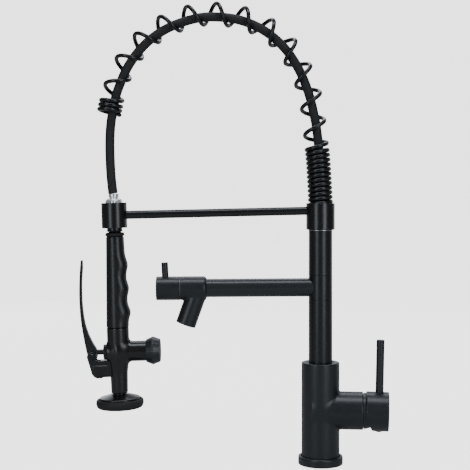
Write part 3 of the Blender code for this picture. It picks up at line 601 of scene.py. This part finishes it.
def make_body():
    rough = solid_rod(BODY_R, BODY_BOTTOM, BODY_TOP, WORLD)
    rough = joined(rough, solid_rod(HOUSING_R, 0.0, HOUSING_END, HOUSING), "UNION")
    rough = joined(rough, solid_rod(*SPIGOT, WORLD), "UNION")
    rough = joined(rough, solid_rod(*SEAT, WORLD), "DIFFERENCE")
    rough = joined(rough, solid_rod(*MOUTH, HOUSING), "DIFFERENCE")
    rough = joined(rough, solid_rod(CHAMBER_R, CHAMBER_START, MOUTH[1] + 1.0, HOUSING),
                   "DIFFERENCE")
    cast = remeshed(rough, BODY_VOXEL)
    pulled(cast, body_distance)
    for x, y, radius in DECK_HOLES:
        hole = solid_rod(radius, -2, SPIGOT[2], aimed(MIXER, (x, y, 0)), steps=HOLE_ROUND)
        cast = joined(cast, hole, "DIFFERENCE")
    add_piece("body", cast, "mixer_body", "black_satin", flatten=False)


def make_dome():
    opening = math.degrees(math.acos(DOME_MOUTH_R / DOME_R))
    inner_opening = math.degrees(math.acos(DOME_MOUTH_R / DOME_LINING_R))
    skin = arc(DOME_R, opening, 1.0, 20, (0, HOUSING_END))
    lining = arc(DOME_LINING_R, 0.0, inner_opening, 8, (0, HOUSING_END))
    skirt = [(19.6, HOUSING_END + 0.35), (19.6, 46.2), (18.0, 46.2)]
    turned("bonnet_dome", skin + skirt + lining, HOUSING, "mixer_body", "black_satin")


def make_handle():
    aim = aimed(HANDLE, aim="+X")
    hollow = arc(21.65, 11.5, 68.0, 16)
    profile = [(0, HUB_END), (HUB_R, HUB_END, 0.9), (HUB_R, HUB_START + 1.5, 0.5),
               (HUB_R - 1.1, HUB_START, 0.2)] + hollow + [(8.0, 14.0), (0, 14.0)]
    relief = box_mesh((30, 60, 60), HANDLE @ Matrix.Translation((11.6, 0, -HUB_R))
                      @ Matrix.Rotation(math.radians(HUB_RELIEF), 4, "Y")
                      @ Matrix.Translation((-15, 0, 0)))
    socket = solid_rod(LEVER_R + 0.25, 15.0, 27, LEVER, steps=SMALL_ROUND)
    screw_hole = solid_rod(4.2, 19.0, 27, UNDER_HUB, steps=SMALL_ROUND)
    turned("handle_hub", profile, aim, "mixer_handle", "black_satin",
           cuts=[relief, socket, screw_hole])
    turned("handle_lever", [(0, 84.7), (LEVER_R, 84.7, 0.6), (LEVER_R, 15.4, 0.4), (0, 15.4)],
           LEVER, "mixer_handle", "black_satin", steps=SMALL_ROUND)
    top = HUB_R + CAP_RISE
    dome = arc(CAP_CURVE, 90.0, 60.0, 8, (0, top - CAP_CURVE))
    shank = [(4.9, HUB_R + 0.1), (3.9, HUB_R + 0.1), (3.9, 19.4), (0, 19.4)]
    turned("handle_index_cap", [(0, top)] + dome[1:] + shank, UNDER_HUB, "mixer_handle",
           "black_gloss", steps=SMALL_ROUND)


def box_mesh(size, place):
    cage = bmesh.new()
    bmesh.ops.create_cube(cage, size=1.0, matrix=place @ Matrix.Diagonal((*size, 1.0)))
    return to_mesh(cage)


# ---------------------------------------------------------------- column and spout

def make_column():
    turned("column_bush", [(15.8, 120.0, 0.4), (15.8, 104.5), (14.35, 104.5), (14.35, 120.0, 0.3)],
           WORLD, "mixer_body", "black_grip")
    turned("lower_column", [(COLUMN_R, 195.05, 0.3), (COLUMN_R, 103.3, 0.2), (12.5, 103.3),
                            (12.5, 195.05)], WORLD, "column", "black_satin")
    turned("upper_column", [(13.2, 291.5), (13.2, 276.8), (COLUMN_R, 276.8, 0.3),
                            (COLUMN_R, 224.35, 0.3), (12.5, 224.35), (12.5, 291.5)],
           WORLD, "column", "black_satin")
    turned("clamp_washer", [(14.6, 277.95, 0.2), (14.6, 277.05, 0.2), (13.5, 277.05),
                            (13.5, 277.95)], WORLD, "column", "steel")
    rod_hole = solid_rod(ROD_R + 0.3, 9.0, 30.0, ROD_OUT, steps=SMALL_ROUND)
    grub = solid_rod(2.2, 12, 20, aimed(WORLD, (0, 0, 285), "+Y"), steps=HOLE_ROUND)
    turned("top_clamp",
           [(15.5, 309.5, 0.3), (17.0, 309.5, 0.7), (17.0, 278.2, 0.7), (13.5, 278.2, 0.2),
            (13.5, 291.8), (7.1, 291.8), (7.1, 305.5), (15.5, 305.5)],
           WORLD, "column", "black_satin", cuts=[rod_hole, grub])


def make_rod_and_dock():
    reach = -DOCK[0] / math.cos(math.radians(ROD_DROOP))
    turned("support_rod", [(0, reach - 12.7), (ROD_R, reach - 12.7, 0.3), (ROD_R, 9.4, 0.3),
                           (0, 9.4)], ROD_OUT, "column", "black_satin", steps=SMALL_ROUND)
    hole = solid_rod(ROD_R + 0.3, reach - 25.0, reach - 12.4, ROD_OUT, steps=SMALL_ROUND)
    turned("dock_ring", [(DOCK_R, 15, 0.6), (DOCK_R, -15, 0.6), (11.6, -15, 0.4), (11.6, 15, 0.4)],
           SPRAY, "column", "black_satin", cuts=[hole])
    turned("dock_liner", [(11.3, 14.7, 0.2), (11.3, -14.7, 0.2), (10.75, -14.7), (10.75, 14.7)],
           SPRAY, "column", "black_grip")


def make_spout():
    column = solid_rod(COLUMN_R + 0.02, -30, 30, aimed(WORLD, (0, 0, SPOUT_Z)))
    turned("spout_sleeve", [(COLUMN_R, 224.2, 0.3), (COLUMN_R, 195.2, 0.3), (12.55, 195.2),
                            (12.55, 224.2)], WORLD, "spout", "black_satin")
    turned("spout_tube", [(SPOUT_R, 143.0), (SPOUT_R, 9.0), (8.4, 9.0), (8.4, 143.0)],
           SPOUT_OUT, "spout", "black_satin", cuts=[column])


def spout_valve_distance(points):
    """Valve body, with the nozzle blended into its underside."""
    valve = rod_distance(points, SPOUT_OUT, VALVE_R, VALVE_INNER, VALVE_OUTER, 0.3)
    cone = local(points, SPOUT_OUT)
    across = np.hypot(cone[:, 0], cone[:, 1]) - VALVE_R + VALVE_TAPER
    taper = (across - cone[:, 2] + VALVE_INNER) * CONE_SLOPE
    valve = -merge(-valve, -taper, 1.2)
    nozzle = rod_distance(points, NOZZLE, NOZZLE_R, 0.0, NOZZLE_LENGTH, 0.45)
    shape = merge(valve, nozzle, NOZZLE_FILLET)
    shape = remove(shape, rod_distance(points, SPOUT_OUT, *TUBE_SOCKET, 0.1), 0.4)
    shape = remove(shape, rod_distance(points, SPOUT_OUT, *VALVE_BORE, 0.1), 0.4)
    return remove(shape, rod_distance(points, NOZZLE, *NOZZLE_BORE, 0.1), 0.5)


def make_spout_valve():
    rough = solid_rod(VALVE_R, VALVE_INNER, VALVE_OUTER, SPOUT_OUT)
    rough = joined(rough, solid_rod(NOZZLE_R, 0.0, NOZZLE_LENGTH, NOZZLE), "UNION")
    rough = joined(rough, solid_rod(*TUBE_SOCKET, SPOUT_OUT), "DIFFERENCE")
    rough = joined(rough, solid_rod(*VALVE_BORE, SPOUT_OUT), "DIFFERENCE")
    rough = joined(rough, solid_rod(*NOZZLE_BORE, NOZZLE), "DIFFERENCE")
    cast = remeshed(rough, SPOUT_VOXEL)
    pulled(cast, spout_valve_distance, reach=0.3)
    add_piece("spout_valve_casting", cast, "spout", "black_satin",
              ["spout_valve_body", "spout_nozzle"], flatten=False)
    turned("seam_ring", [(VALVE_R - 0.2, 167.4, 0.1), (VALVE_R - 0.2, 166.1, 0.1), (11, 166.1),
                         (11, 167.4)], SPOUT_OUT, "spout", "steel")
    turned("aerator", [(10.1, 45.2, 0.5), (10.1, 37.0), (3.0, 37.0), (3.0, 43.0), (8.6, 43.0),
                       (8.6, 45.2, 0.3)], NOZZLE, "spout", "steel")


def make_spout_knob():
    pin = aimed(SPOUT, (-KNOB_PIN_AT, 0, 0),
                Matrix.Rotation(math.radians(-KNOB_PIN_LEAN), 4, "Y"))
    turned("spout_knob",
           [(0, KNOB_END), (VALVE_R, KNOB_END, 0.9), (VALVE_R, KNOB_START, 0.4),
            (4.3, KNOB_START), (4.3, KNOB_START + 13), (0, KNOB_START + 13)],
           SPOUT_OUT, "spout_knob", "black_satin",
           cuts=[solid_rod(KNOB_PIN_R + 0.25, 8.1, 20, pin, steps=SMALL_ROUND)])
    turned("spout_knob_pin",
           [(0, 30.8), (KNOB_PIN_R, 30.8, 0.5), (KNOB_PIN_R, 8.4, 0.4), (0, 8.4)],
           pin, "spout_knob", "black_satin", steps=SMALL_ROUND)


# ---------------------------------------------------------------- spring and hose

def smooth_route(points, spacing, closed=False):
    """Evenly spaced points on a smooth curve through (x, z) points."""
    before, after = ([points[-1]], points[:2]) if closed else ([points[0]], [points[-1]])
    ends = [np.array(p, float) for p in before + points + after]
    dense = []
    for p0, p1, p2, p3 in zip(ends, ends[1:], ends[2:], ends[3:]):
        for t in np.arange(SPLINE_STEPS) / SPLINE_STEPS:
            dense.append(0.5 * ((2 * p1) + (p2 - p0) * t + (2 * p0 - 5 * p1 + 4 * p2 - p3) * t * t
                                + (3 * p1 - p0 - 3 * p2 + p3) * t ** 3))
    dense = np.array(dense + [ends[-2 if closed else -1]])
    travelled = np.concatenate([[0], np.cumsum(np.hypot(*np.diff(dense, axis=0).T))])
    steps = max(2, round(travelled[-1] / spacing))
    wanted = np.linspace(0, travelled[-1], steps + 1)
    line = np.column_stack([np.interp(wanted, travelled, dense[:, k]) for k in (0, 1)])
    return line, travelled[-1] / steps


def pitch_at(turn):
    """The rise of one turn: close above the clamp, open over the arch, close at the end."""
    into = min(1.0, max(0.0, (turn - TIGHT_TURNS) / OPENING_OVER))
    out_of = min(1.0, max(0.0, (turn - TIGHT_TURNS - OPEN_TURNS) / CLOSING_OVER))
    opened = TIGHT_PITCH + (OPEN_PITCH - TIGHT_PITCH) * into * into * (3 - 2 * into)
    return opened + (END_PITCH - opened) * out_of * out_of * (3 - 2 * out_of)


def spring_points():
    line, step = smooth_route(SPRING_ROUTE, 1.0)
    count = round((TIGHT_TURNS + OPEN_TURNS + END_TURNS) * POINTS_PER_TURN)
    points = []
    travelled = 0.0
    for i in range(count + 1):
        turn = i / POINTS_PER_TURN
        j = min(len(line) - 2, int(travelled / step))
        centre = line[j] + (line[j + 1] - line[j]) * (travelled / step - j)
        along = (line[min(len(line) - 1, j + DIRECTION_REACH)]
                 - line[max(0, j - DIRECTION_REACH)])
        along = along / np.hypot(*along)
        across = np.array((-along[1], along[0]))
        angle = math.tau * turn
        side = centre + across * (COIL_R * math.cos(angle))
        points.append((side[0], -COIL_R * math.sin(angle), side[1] - SPRING_DROP))
        travelled += pitch_at(turn) / POINTS_PER_TURN
    return points


def bar_along(points, radius, sides, cap=0.5):
    """A round bar along points, turned with the least twist, with rounded ends."""
    line = [Vector(p) for p in points]
    ahead = [(line[min(len(line) - 1, i + 1)] - line[max(0, i - 1)]).normalized()
             for i in range(len(line))]
    side = ahead[0].orthogonal().normalized()
    stations = []
    for here, way in zip(line, ahead):
        side = (side - way * side.dot(way)).normalized()
        stations.append((here, way, side, radius))
    first, last = stations[0], stations[-1]
    lead = [(first[0] - first[1] * radius * cap * math.sin(a), first[1], first[2],
             radius * math.cos(a)) for a in reversed(CAP_TURNS)]
    tail = [(last[0] + last[1] * radius * cap * math.sin(a), last[1], last[2],
             radius * math.cos(a)) for a in CAP_TURNS]
    cage = bmesh.new()
    rings = []
    for here, way, out, size in lead + stations + tail:
        up = way.cross(out)
        rings.append([cage.verts.new(here + out * (size * math.cos(math.tau * k / sides))
                                     + up * (size * math.sin(math.tau * k / sides)))
                      for k in range(sides)])
    for a, b in zip(rings, rings[1:]):
        for k in range(sides):
            m = (k + 1) % sides
            cage.faces.new((a[k], a[m], b[m], b[k]))
    cage.faces.new(rings[0][::-1])
    cage.faces.new(rings[-1])
    return to_mesh(cage)


def make_spring_and_hose():
    """Both bend from the clamp, which holds one end, to the spray, which pulls the other."""
    spring = add_piece("support_spring", bar_along(spring_points(), WIRE_R, 14), None,
                       "black_gloss", flatten=False)
    line, _ = smooth_route(HOSE_ROUTE, 2.5)
    hose = add_piece("hose", bar_along([(x, 0, z) for x, z in line], HOSE_R, 32, 0.1), None,
                     "rubber", flatten=False)
    for obj in (spring, hose):
        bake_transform(obj)


def make_valve_spring():
    """The spring behind the poppet, which the stem pushes and the branch holds."""
    start, end = VALVE_SPRING
    count = VALVE_SPRING_TURNS * POINTS_PER_TURN
    line = []
    for i in range(count + 1):
        angle = math.tau * i / POINTS_PER_TURN
        reach = start + (end - start) * i / count
        line.append(BRANCH @ Vector((VALVE_COIL_R * math.cos(angle),
                                     VALVE_COIL_R * math.sin(angle), reach)))
    spring = add_piece("valve_spring", bar_along(line, VALVE_WIRE_R, 8), None, "steel",
                       flatten=False)
    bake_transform(spring)


# ---------------------------------------------------------------- spray

def make_spray_top():
    turned("hose_ferrule", [(0, 25.7), (6.0, 25.7, 0.4), (6.0, 21.9, 0.3), (5.2, 21.4),
                            (5.2, 12.0), (0, 12.0)], SPRAY, "spray", "chrome")
    turned("hose_swivel_nut",
           [(5.6, 20.1), (6.4, 20.1, 0.2), (8.8, 19.2, 1.2), (10.1, 17.0, 1.2), (10.3, 15.0, 0.5),
            (10.3, 2.0, 0.4), (8.1, 2.0), (8.1, 11.6), (5.6, 11.6)], SPRAY, "spray", "chrome",
           radius=nut_flats)
    turned("spray_connector",
           [(7.8, 11.0), (7.8, 1.7), (10.3, 1.7, 0.4), (10.3, -13.6, 1.0), (9.05, -14.8, 0.5),
            (9.05, -17.0, 0.3), (9.5, -18.0, 0.5), (9.05, -19.0, 0.3), (7.0, -20.2), (7.0, -32.0),
            (4.0, -32.0), (4.0, 11.0)], SPRAY, "spray", "black_satin")
    turned("neck_o_ring", arc(2.4, 180.0, -165.0, 24, (9.0, -22.7)), SPRAY, "spray", "rubber")


def hexagon(flat, turn):
    """The radius of a hexagon, at this turn, whose flats are this far from its middle."""
    return flat / math.cos((turn + math.pi / 6) % (math.pi / 3) - math.pi / 6)


def nut_flats(radius, height, turn):
    """Six shallow flats round the nut's upper rim, where a spanner holds it."""
    if radius < 9.0 or height < 12.0:
        return radius
    return min(radius, hexagon(NUT_FLAT, turn))


def grip_radius(height, turn):
    """A slim cone with three swells for the fingers on one side."""
    share = (GRIP_TOP - height) / (GRIP_TOP - GRIP_BOTTOM)
    base = GRIP_TOP_R + GRIP_FLARE * share
    bump = sum(size * math.exp(-((height - at) / width) ** 2) for at, size, width in FINGER_BUMPS)
    return base + bump * max(0.0, math.cos(turn)) ** 1.5


def make_grip():
    heights = np.linspace(GRIP_TOP - GRIP_CHAMFER, GRIP_BOTTOM + GRIP_CHAMFER, 110)
    wall = [(10.0, GRIP_TOP)] + [(GRIP_WALL, h) for h in heights] + [(12.6, GRIP_BOTTOM)]

    def reach(radius, height, turn):
        if radius < 8.0:
            return radius
        inset = 0.0 if radius == GRIP_WALL else GRIP_CHAMFER
        return grip_radius(height, turn) - inset

    turned("grip", wall + [(GRIP_BORE, GRIP_BOTTOM), (GRIP_BORE, GRIP_TOP)], SPRAY, "spray",
           "black_grip", radius=reach)


def spray_valve_distance(points):
    """Valve body and its branch and stem boss, blended where they meet."""
    p = local(points, SPRAY)
    width = np.interp(p[:, 2], *zip(*VALVE_WIDTHS))
    body = (np.hypot(p[:, 0], p[:, 1]) - width) * WALL_SLOPE
    ends = np.abs(p[:, 2] - (VALVE_TOP + VALVE_FOOT) / 2) - (VALVE_TOP - VALVE_FOOT) / 2
    shape = -merge(-body, -ends, 1.2)
    branch = rod_distance(points, BRANCH, BRANCH_R, 0.0, BRANCH_END, 0.3)
    boss = rod_distance(points, STEM, BOSS_R, 0.0, 13.3, 0.8)
    shape = merge(merge(shape, branch, BRANCH_FILLET), boss, BOSS_FILLET)
    shape = remove(shape, rod_distance(points, BRANCH, *BRANCH_BORE, 0.2), 0.4)
    return remove(shape, rod_distance(points, STEM, *STEM_BORE, 0.1), 0.4)


def make_spray_valve():
    rough = revolve([(0, VALVE_TOP), (13.1, VALVE_TOP), (13.1, -170), (10.4, -186),
                     (9.9, VALVE_FOOT), (0, VALVE_FOOT)], SPRAY)
    rough = joined(rough, solid_rod(BRANCH_R, 0, BRANCH_END, BRANCH), "UNION")
    rough = joined(rough, solid_rod(BOSS_R, 0, 14.5, STEM), "UNION")
    rough = joined(rough, solid_rod(*BRANCH_BORE, BRANCH), "DIFFERENCE")
    rough = joined(rough, solid_rod(*STEM_BORE, STEM), "DIFFERENCE")
    cast = remeshed(rough, SPRAY_VOXEL)
    pulled(cast, spray_valve_distance, reach=0.4)
    add_piece("spray_valve_body", cast, "spray", "black_satin", flatten=False)
    turned("gland_nut", [(9.4, 17.4, 1.4), (9.4, 13.7, 0.4), (3.6, 13.7), (3.6, 17.4, 0.3)], STEM,
           "spray", "black_satin", radius=gland_flats)
    turned("bonnet_cap_nut",
           [(0, 50.0), (13.4, 50.0, 0.8), (16.7, 41.2, 1.0), (13.4, 33.2, 0.5), (12.25, 33.2),
            (12.25, 40.4), (5.2, 40.4), (5.2, 46.0), (0, 46.0)],
           BRANCH, "spray", "black_satin", steps=6 * KNURL_RIBS, radius=knurl)
    turned("valve_stem", [(0, 25.2), (3.25, 25.2, 0.4), (3.25, 1.9), (0, 1.9)], STEM,
           "valve_stem", "black_satin", steps=SMALL_ROUND)


def gland_flats(radius, _height, turn):
    """Flats on a nut that is cut from a round bar."""
    if radius < 5.0:
        return radius
    return min(radius, hexagon(GLAND_FLAT, turn))


def knurl(radius, height, turn):
    """Fine straight ribs round the cap nut's bulge."""
    if radius < 13.0 or not KNURL_FROM < height < KNURL_TO:
        return radius
    fade = min(1.0, (height - KNURL_FROM) / KNURL_FADE, (KNURL_TO - height) / KNURL_FADE)
    return radius - KNURL_DEPTH * fade * (0.5 - 0.5 * math.cos(turn * KNURL_RIBS))


def make_spray_foot():
    turned("spray_dish",
           [(7.6, -211.3), (7.6, -212.3), (10.6, -212.4, 1.0), (23.7, -216.2, 0.5),
            (24.4, -217.0, 0.5), (24.4, -220.2), (22.4, -220.2), (21.0, -218.4), (3.4, -218.4),
            (3.4, -211.3)], SPRAY, "spray", "black_satin")
    jets = [solid_rod(0.75, -228.0, -224.6,
                      aimed(SPRAY, (ring * math.cos(a), ring * math.sin(a), 0)), steps=12)
            for ring, count in JET_ROWS
            for a in (math.tau * k / count for k in range(count))]
    turned("spray_plate", [(0, -221.5), (18.4, -221.5), (18.4, -226.4, 0.8), (0, -226.4)], SPRAY,
           "spray", "black_grip", cuts=[merged(jets)])
    turned("bumper_ring",
           [(24.8, -218.3, 0.6), (26.9, -218.1, 1.4), (28.3, -220.8, 1.8), (28.2, -224.6, 2.0),
            (26.4, -228.0, 1.8), (23.6, -228.7, 1.2), (20.8, -228.7, 1.2), (18.8, -226.6, 1.0),
            (18.8, -220.8), (24.8, -220.8)], SPRAY, "spray", "rubber")


def merged(meshes):
    cage = bmesh.new()
    for mesh in meshes:
        cage.from_mesh(mesh)
        bpy.data.meshes.remove(mesh)
    return to_mesh(cage)


# ---------------------------------------------------------------- trigger

def plate(outline, thickness, soft, place):
    """A plate with rounded edges from a smooth outline in the frame's XZ plane."""
    cage = bmesh.new()
    shift = Matrix.Translation((0, thickness / 2 - soft, 0))
    face = cage.faces.new([cage.verts.new(shift @ Vector((x, 0, z))) for x, z in outline])
    out = bmesh.ops.extrude_face_region(cage, geom=[face])
    moved = [v for v in out["geom"] if isinstance(v, bmesh.types.BMVert)]
    bmesh.ops.translate(cage, verts=moved, vec=(0, -(thickness - 2 * soft), 0))
    bmesh.ops.recalc_face_normals(cage, faces=cage.faces)
    for rim in [f for f in cage.faces if len(f.verts) == len(outline)]:
        for k in range(1, CORNER + 1):
            before, now = (math.pi / 2 * (k - 1) / CORNER, math.pi / 2 * k / CORNER)
            inset = soft * (math.cos(before) - math.cos(now))
            rise = soft * (math.sin(now) - math.sin(before))
            bmesh.ops.inset_region(cage, faces=[rim], thickness=inset, depth=0.0,
                                   use_even_offset=True)
            bmesh.ops.translate(cage, verts=rim.verts, vec=rim.normal * rise)
            rim.normal_update()
    mesh = to_mesh(cage)
    mesh.transform(place)
    return mesh


def smoothed(outline, spacing):
    """A closed outline drawn again through its points, evenly and smoothly."""
    line, _ = smooth_route(outline, spacing, closed=True)
    return [tuple(p) for p in line[:-1]]


def pivot_hole():
    return solid_rod(PIVOT_HOLE_R, -12, 12, PIVOT_PIN, steps=SMALL_ROUND)


def make_trigger():
    place = aimed(SPRAY, PIVOT)
    outer = [(-4.6, -1.0), (-6.6, 7.0), (-8.9, 20.0), (-11.0, 34.0), (-12.4, 48.0),
             (-13.1, 66.0), (-12.7, 84.0), (-11.5, 101.0), (-10.1, 113.6)]
    tip = [(-9.1, 114.9)]
    inner = [(-8.1, 113.8), (-8.3, 104.0), (-9.3, 94.0), (-9.9, 82.0), (-9.9, 66.0),
             (-9.0, 52.0), (-6.9, 38.0), (-3.2, 26.0), (1.4, 16.0), (4.6, 10.4), (5.6, 6.6),
             (5.6, 3.0)]
    foot = arc(5.0, -5.0, -165.0, 9)
    mesh = plate(smoothed(outer + tip + inner + foot, 1.2), 8.0, 0.55, place)
    mesh = joined(mesh, pivot_hole(), "DIFFERENCE")
    add_piece("trigger_lever", mesh, "trigger", "black_satin")


def make_yoke():
    nose = arc(9.0, 185.0, 262.0, 8, (-23.4, -183.6))
    ear = arc(5.9, -40.0, 185.0, 14, (PIVOT[0], PIVOT[2]))
    outline = [(-8.0, -171.8), (-25.4, -171.8)] + ear + nose
    outline += [(-20.4, -192.5), (-17.6, -191.2), (-8.0, -191.2)]
    rough = plate(outline, 15.0, 0.3, SPRAY)
    gap = box_mesh((23.0, 8.6, 26.0), aimed(SPRAY, (-33.0, 0, -168.0)))
    rough = joined(rough, gap, "DIFFERENCE")
    pad = [(-13.0, -177.5), (-29.0, -177.5), (-30.6, -180.0), (-29.0, -187.5), (-26.0, -189.6),
           (-13.0, -189.6)]
    rough = joined(rough, plate(pad, 17.2, 0.4, SPRAY), "UNION")
    rough = joined(rough, solid_rod(9.0, -215, -150, SPRAY), "DIFFERENCE")
    rough = joined(rough, pivot_hole(), "DIFFERENCE")
    cast = remeshed(rough, YOKE_VOXEL)
    cage = bmesh.new()
    cage.from_mesh(cast)
    for _ in range(YOKE_SMOOTHING):
        bmesh.ops.smooth_vert(cage, verts=cage.verts, factor=0.5, use_axis_x=True,
                              use_axis_y=True, use_axis_z=True)
    add_piece("lever_yoke", to_mesh(cage), "spray", "black_satin", flatten=False)
    screw = [(0, 9.0), (2.2, 9.0), (2.2, 9.9, 0.2), (3.0, 9.9, 0.3), (3.9, 9.0, 0.2), (3.9, 7.9),
             (2.0, 7.9), (2.0, -7.2), (0, -7.2)]
    turned("pivot_screw", screw, aimed(SPRAY, PIVOT, "-Y"), "spray", "black_satin",
           steps=SMALL_ROUND)


# ---------------------------------------------------------------- scene

def lit_background(tree):
    """A socket that is bright where the camera sees the studio itself and dim as a light."""
    path = tree.nodes.new("ShaderNodeLightPath")
    seen = tree.nodes.new("ShaderNodeMapRange")
    seen.inputs["To Min"].default_value = STUDIO_FILL
    seen.inputs["To Max"].default_value = BACKDROP
    link(tree, path.outputs["Is Camera Ray"], seen.inputs["Value"])
    return seen.outputs["Result"]


def make_floor():
    """A pale floor whose own glow matches the backdrop."""
    cage = bmesh.new()
    bmesh.ops.create_grid(cage, x_segments=1, y_segments=1, size=FLOOR_SIZE)
    mesh = bpy.data.meshes.new("floor")
    cage.to_mesh(mesh)
    cage.free()
    floor = bpy.data.objects.new("floor", mesh)
    floor.location.z = -FLOOR_DROP
    bpy.context.scene.collection.objects.link(floor)
    pale = bpy.data.materials.new("pale_floor")
    pale.use_nodes = True
    tree = pale.node_tree
    shader = tree.nodes["Principled BSDF"]
    shader.inputs["Base Color"].default_value = (FLOOR_GREY, FLOOR_GREY, FLOOR_GREY, 1.0)
    shader.inputs["Roughness"].default_value = 0.9
    shader.inputs["Emission Color"].default_value = (1.0, 1.0, 1.0, 1.0)
    link(tree, lit_background(tree), shader.inputs["Emission Strength"])
    mesh.materials.append(pale)


def add_light(name, azimuth, height, distance, size, radiance):
    """A soft box that faces the object's middle, round it from the camera's side."""
    width, tall = size
    light = bpy.data.lights.new(name, "AREA")
    light.shape = "RECTANGLE"
    light.size = width
    light.size_y = tall
    light.color = LIGHT_COLOUR
    light.energy = radiance * math.pi * width * tall
    obj = bpy.data.objects.new(name, light)
    bpy.context.scene.collection.objects.link(obj)
    turn = math.radians(azimuth)
    middle = Vector(LIGHT_AIM)
    flat = math.sqrt(max(0.0, distance ** 2 - (height - middle.z) ** 2))
    obj.location = (middle.x + flat * math.sin(turn), -flat * math.cos(turn), height)
    obj.rotation_euler = (middle - obj.location).to_track_quat("-Z", "Y").to_euler()
    return obj


def make_lights():
    world = bpy.data.worlds.new("studio")
    world.use_nodes = True
    tree = world.node_tree
    link(tree, lit_background(tree), tree.nodes["Background"].inputs["Strength"])
    tree.nodes["Background"].inputs["Color"].default_value = (1.0, 1.0, 1.0, 1.0)
    bpy.context.scene.world = world
    lights = {row[0]: add_light(*row) for row in LIGHTS}
    lights["back_panel"].visible_camera = False      # it stands behind the object, in view


def make_camera():
    camera = bpy.data.cameras.new("camera")
    camera.sensor_width = 36.0
    camera.lens = CAMERA_LENS
    camera.shift_y = CAMERA_SHIFT
    obj = bpy.data.objects.new("camera", camera)
    bpy.context.scene.collection.objects.link(obj)
    obj.location = CAMERA_AT
    obj.rotation_euler = (math.pi / 2, 0, 0)
    bpy.context.scene.camera = obj


dress_frame()
make_base()
make_body()
make_dome()
make_handle()
make_column()
make_rod_and_dock()
make_spout()
make_spout_valve()
make_spout_knob()
make_spring_and_hose()
make_spray_top()
make_grip()
make_spray_valve()
make_valve_spring()
make_spray_foot()
make_trigger()
make_yoke()
make_floor()
make_lights()
make_camera()
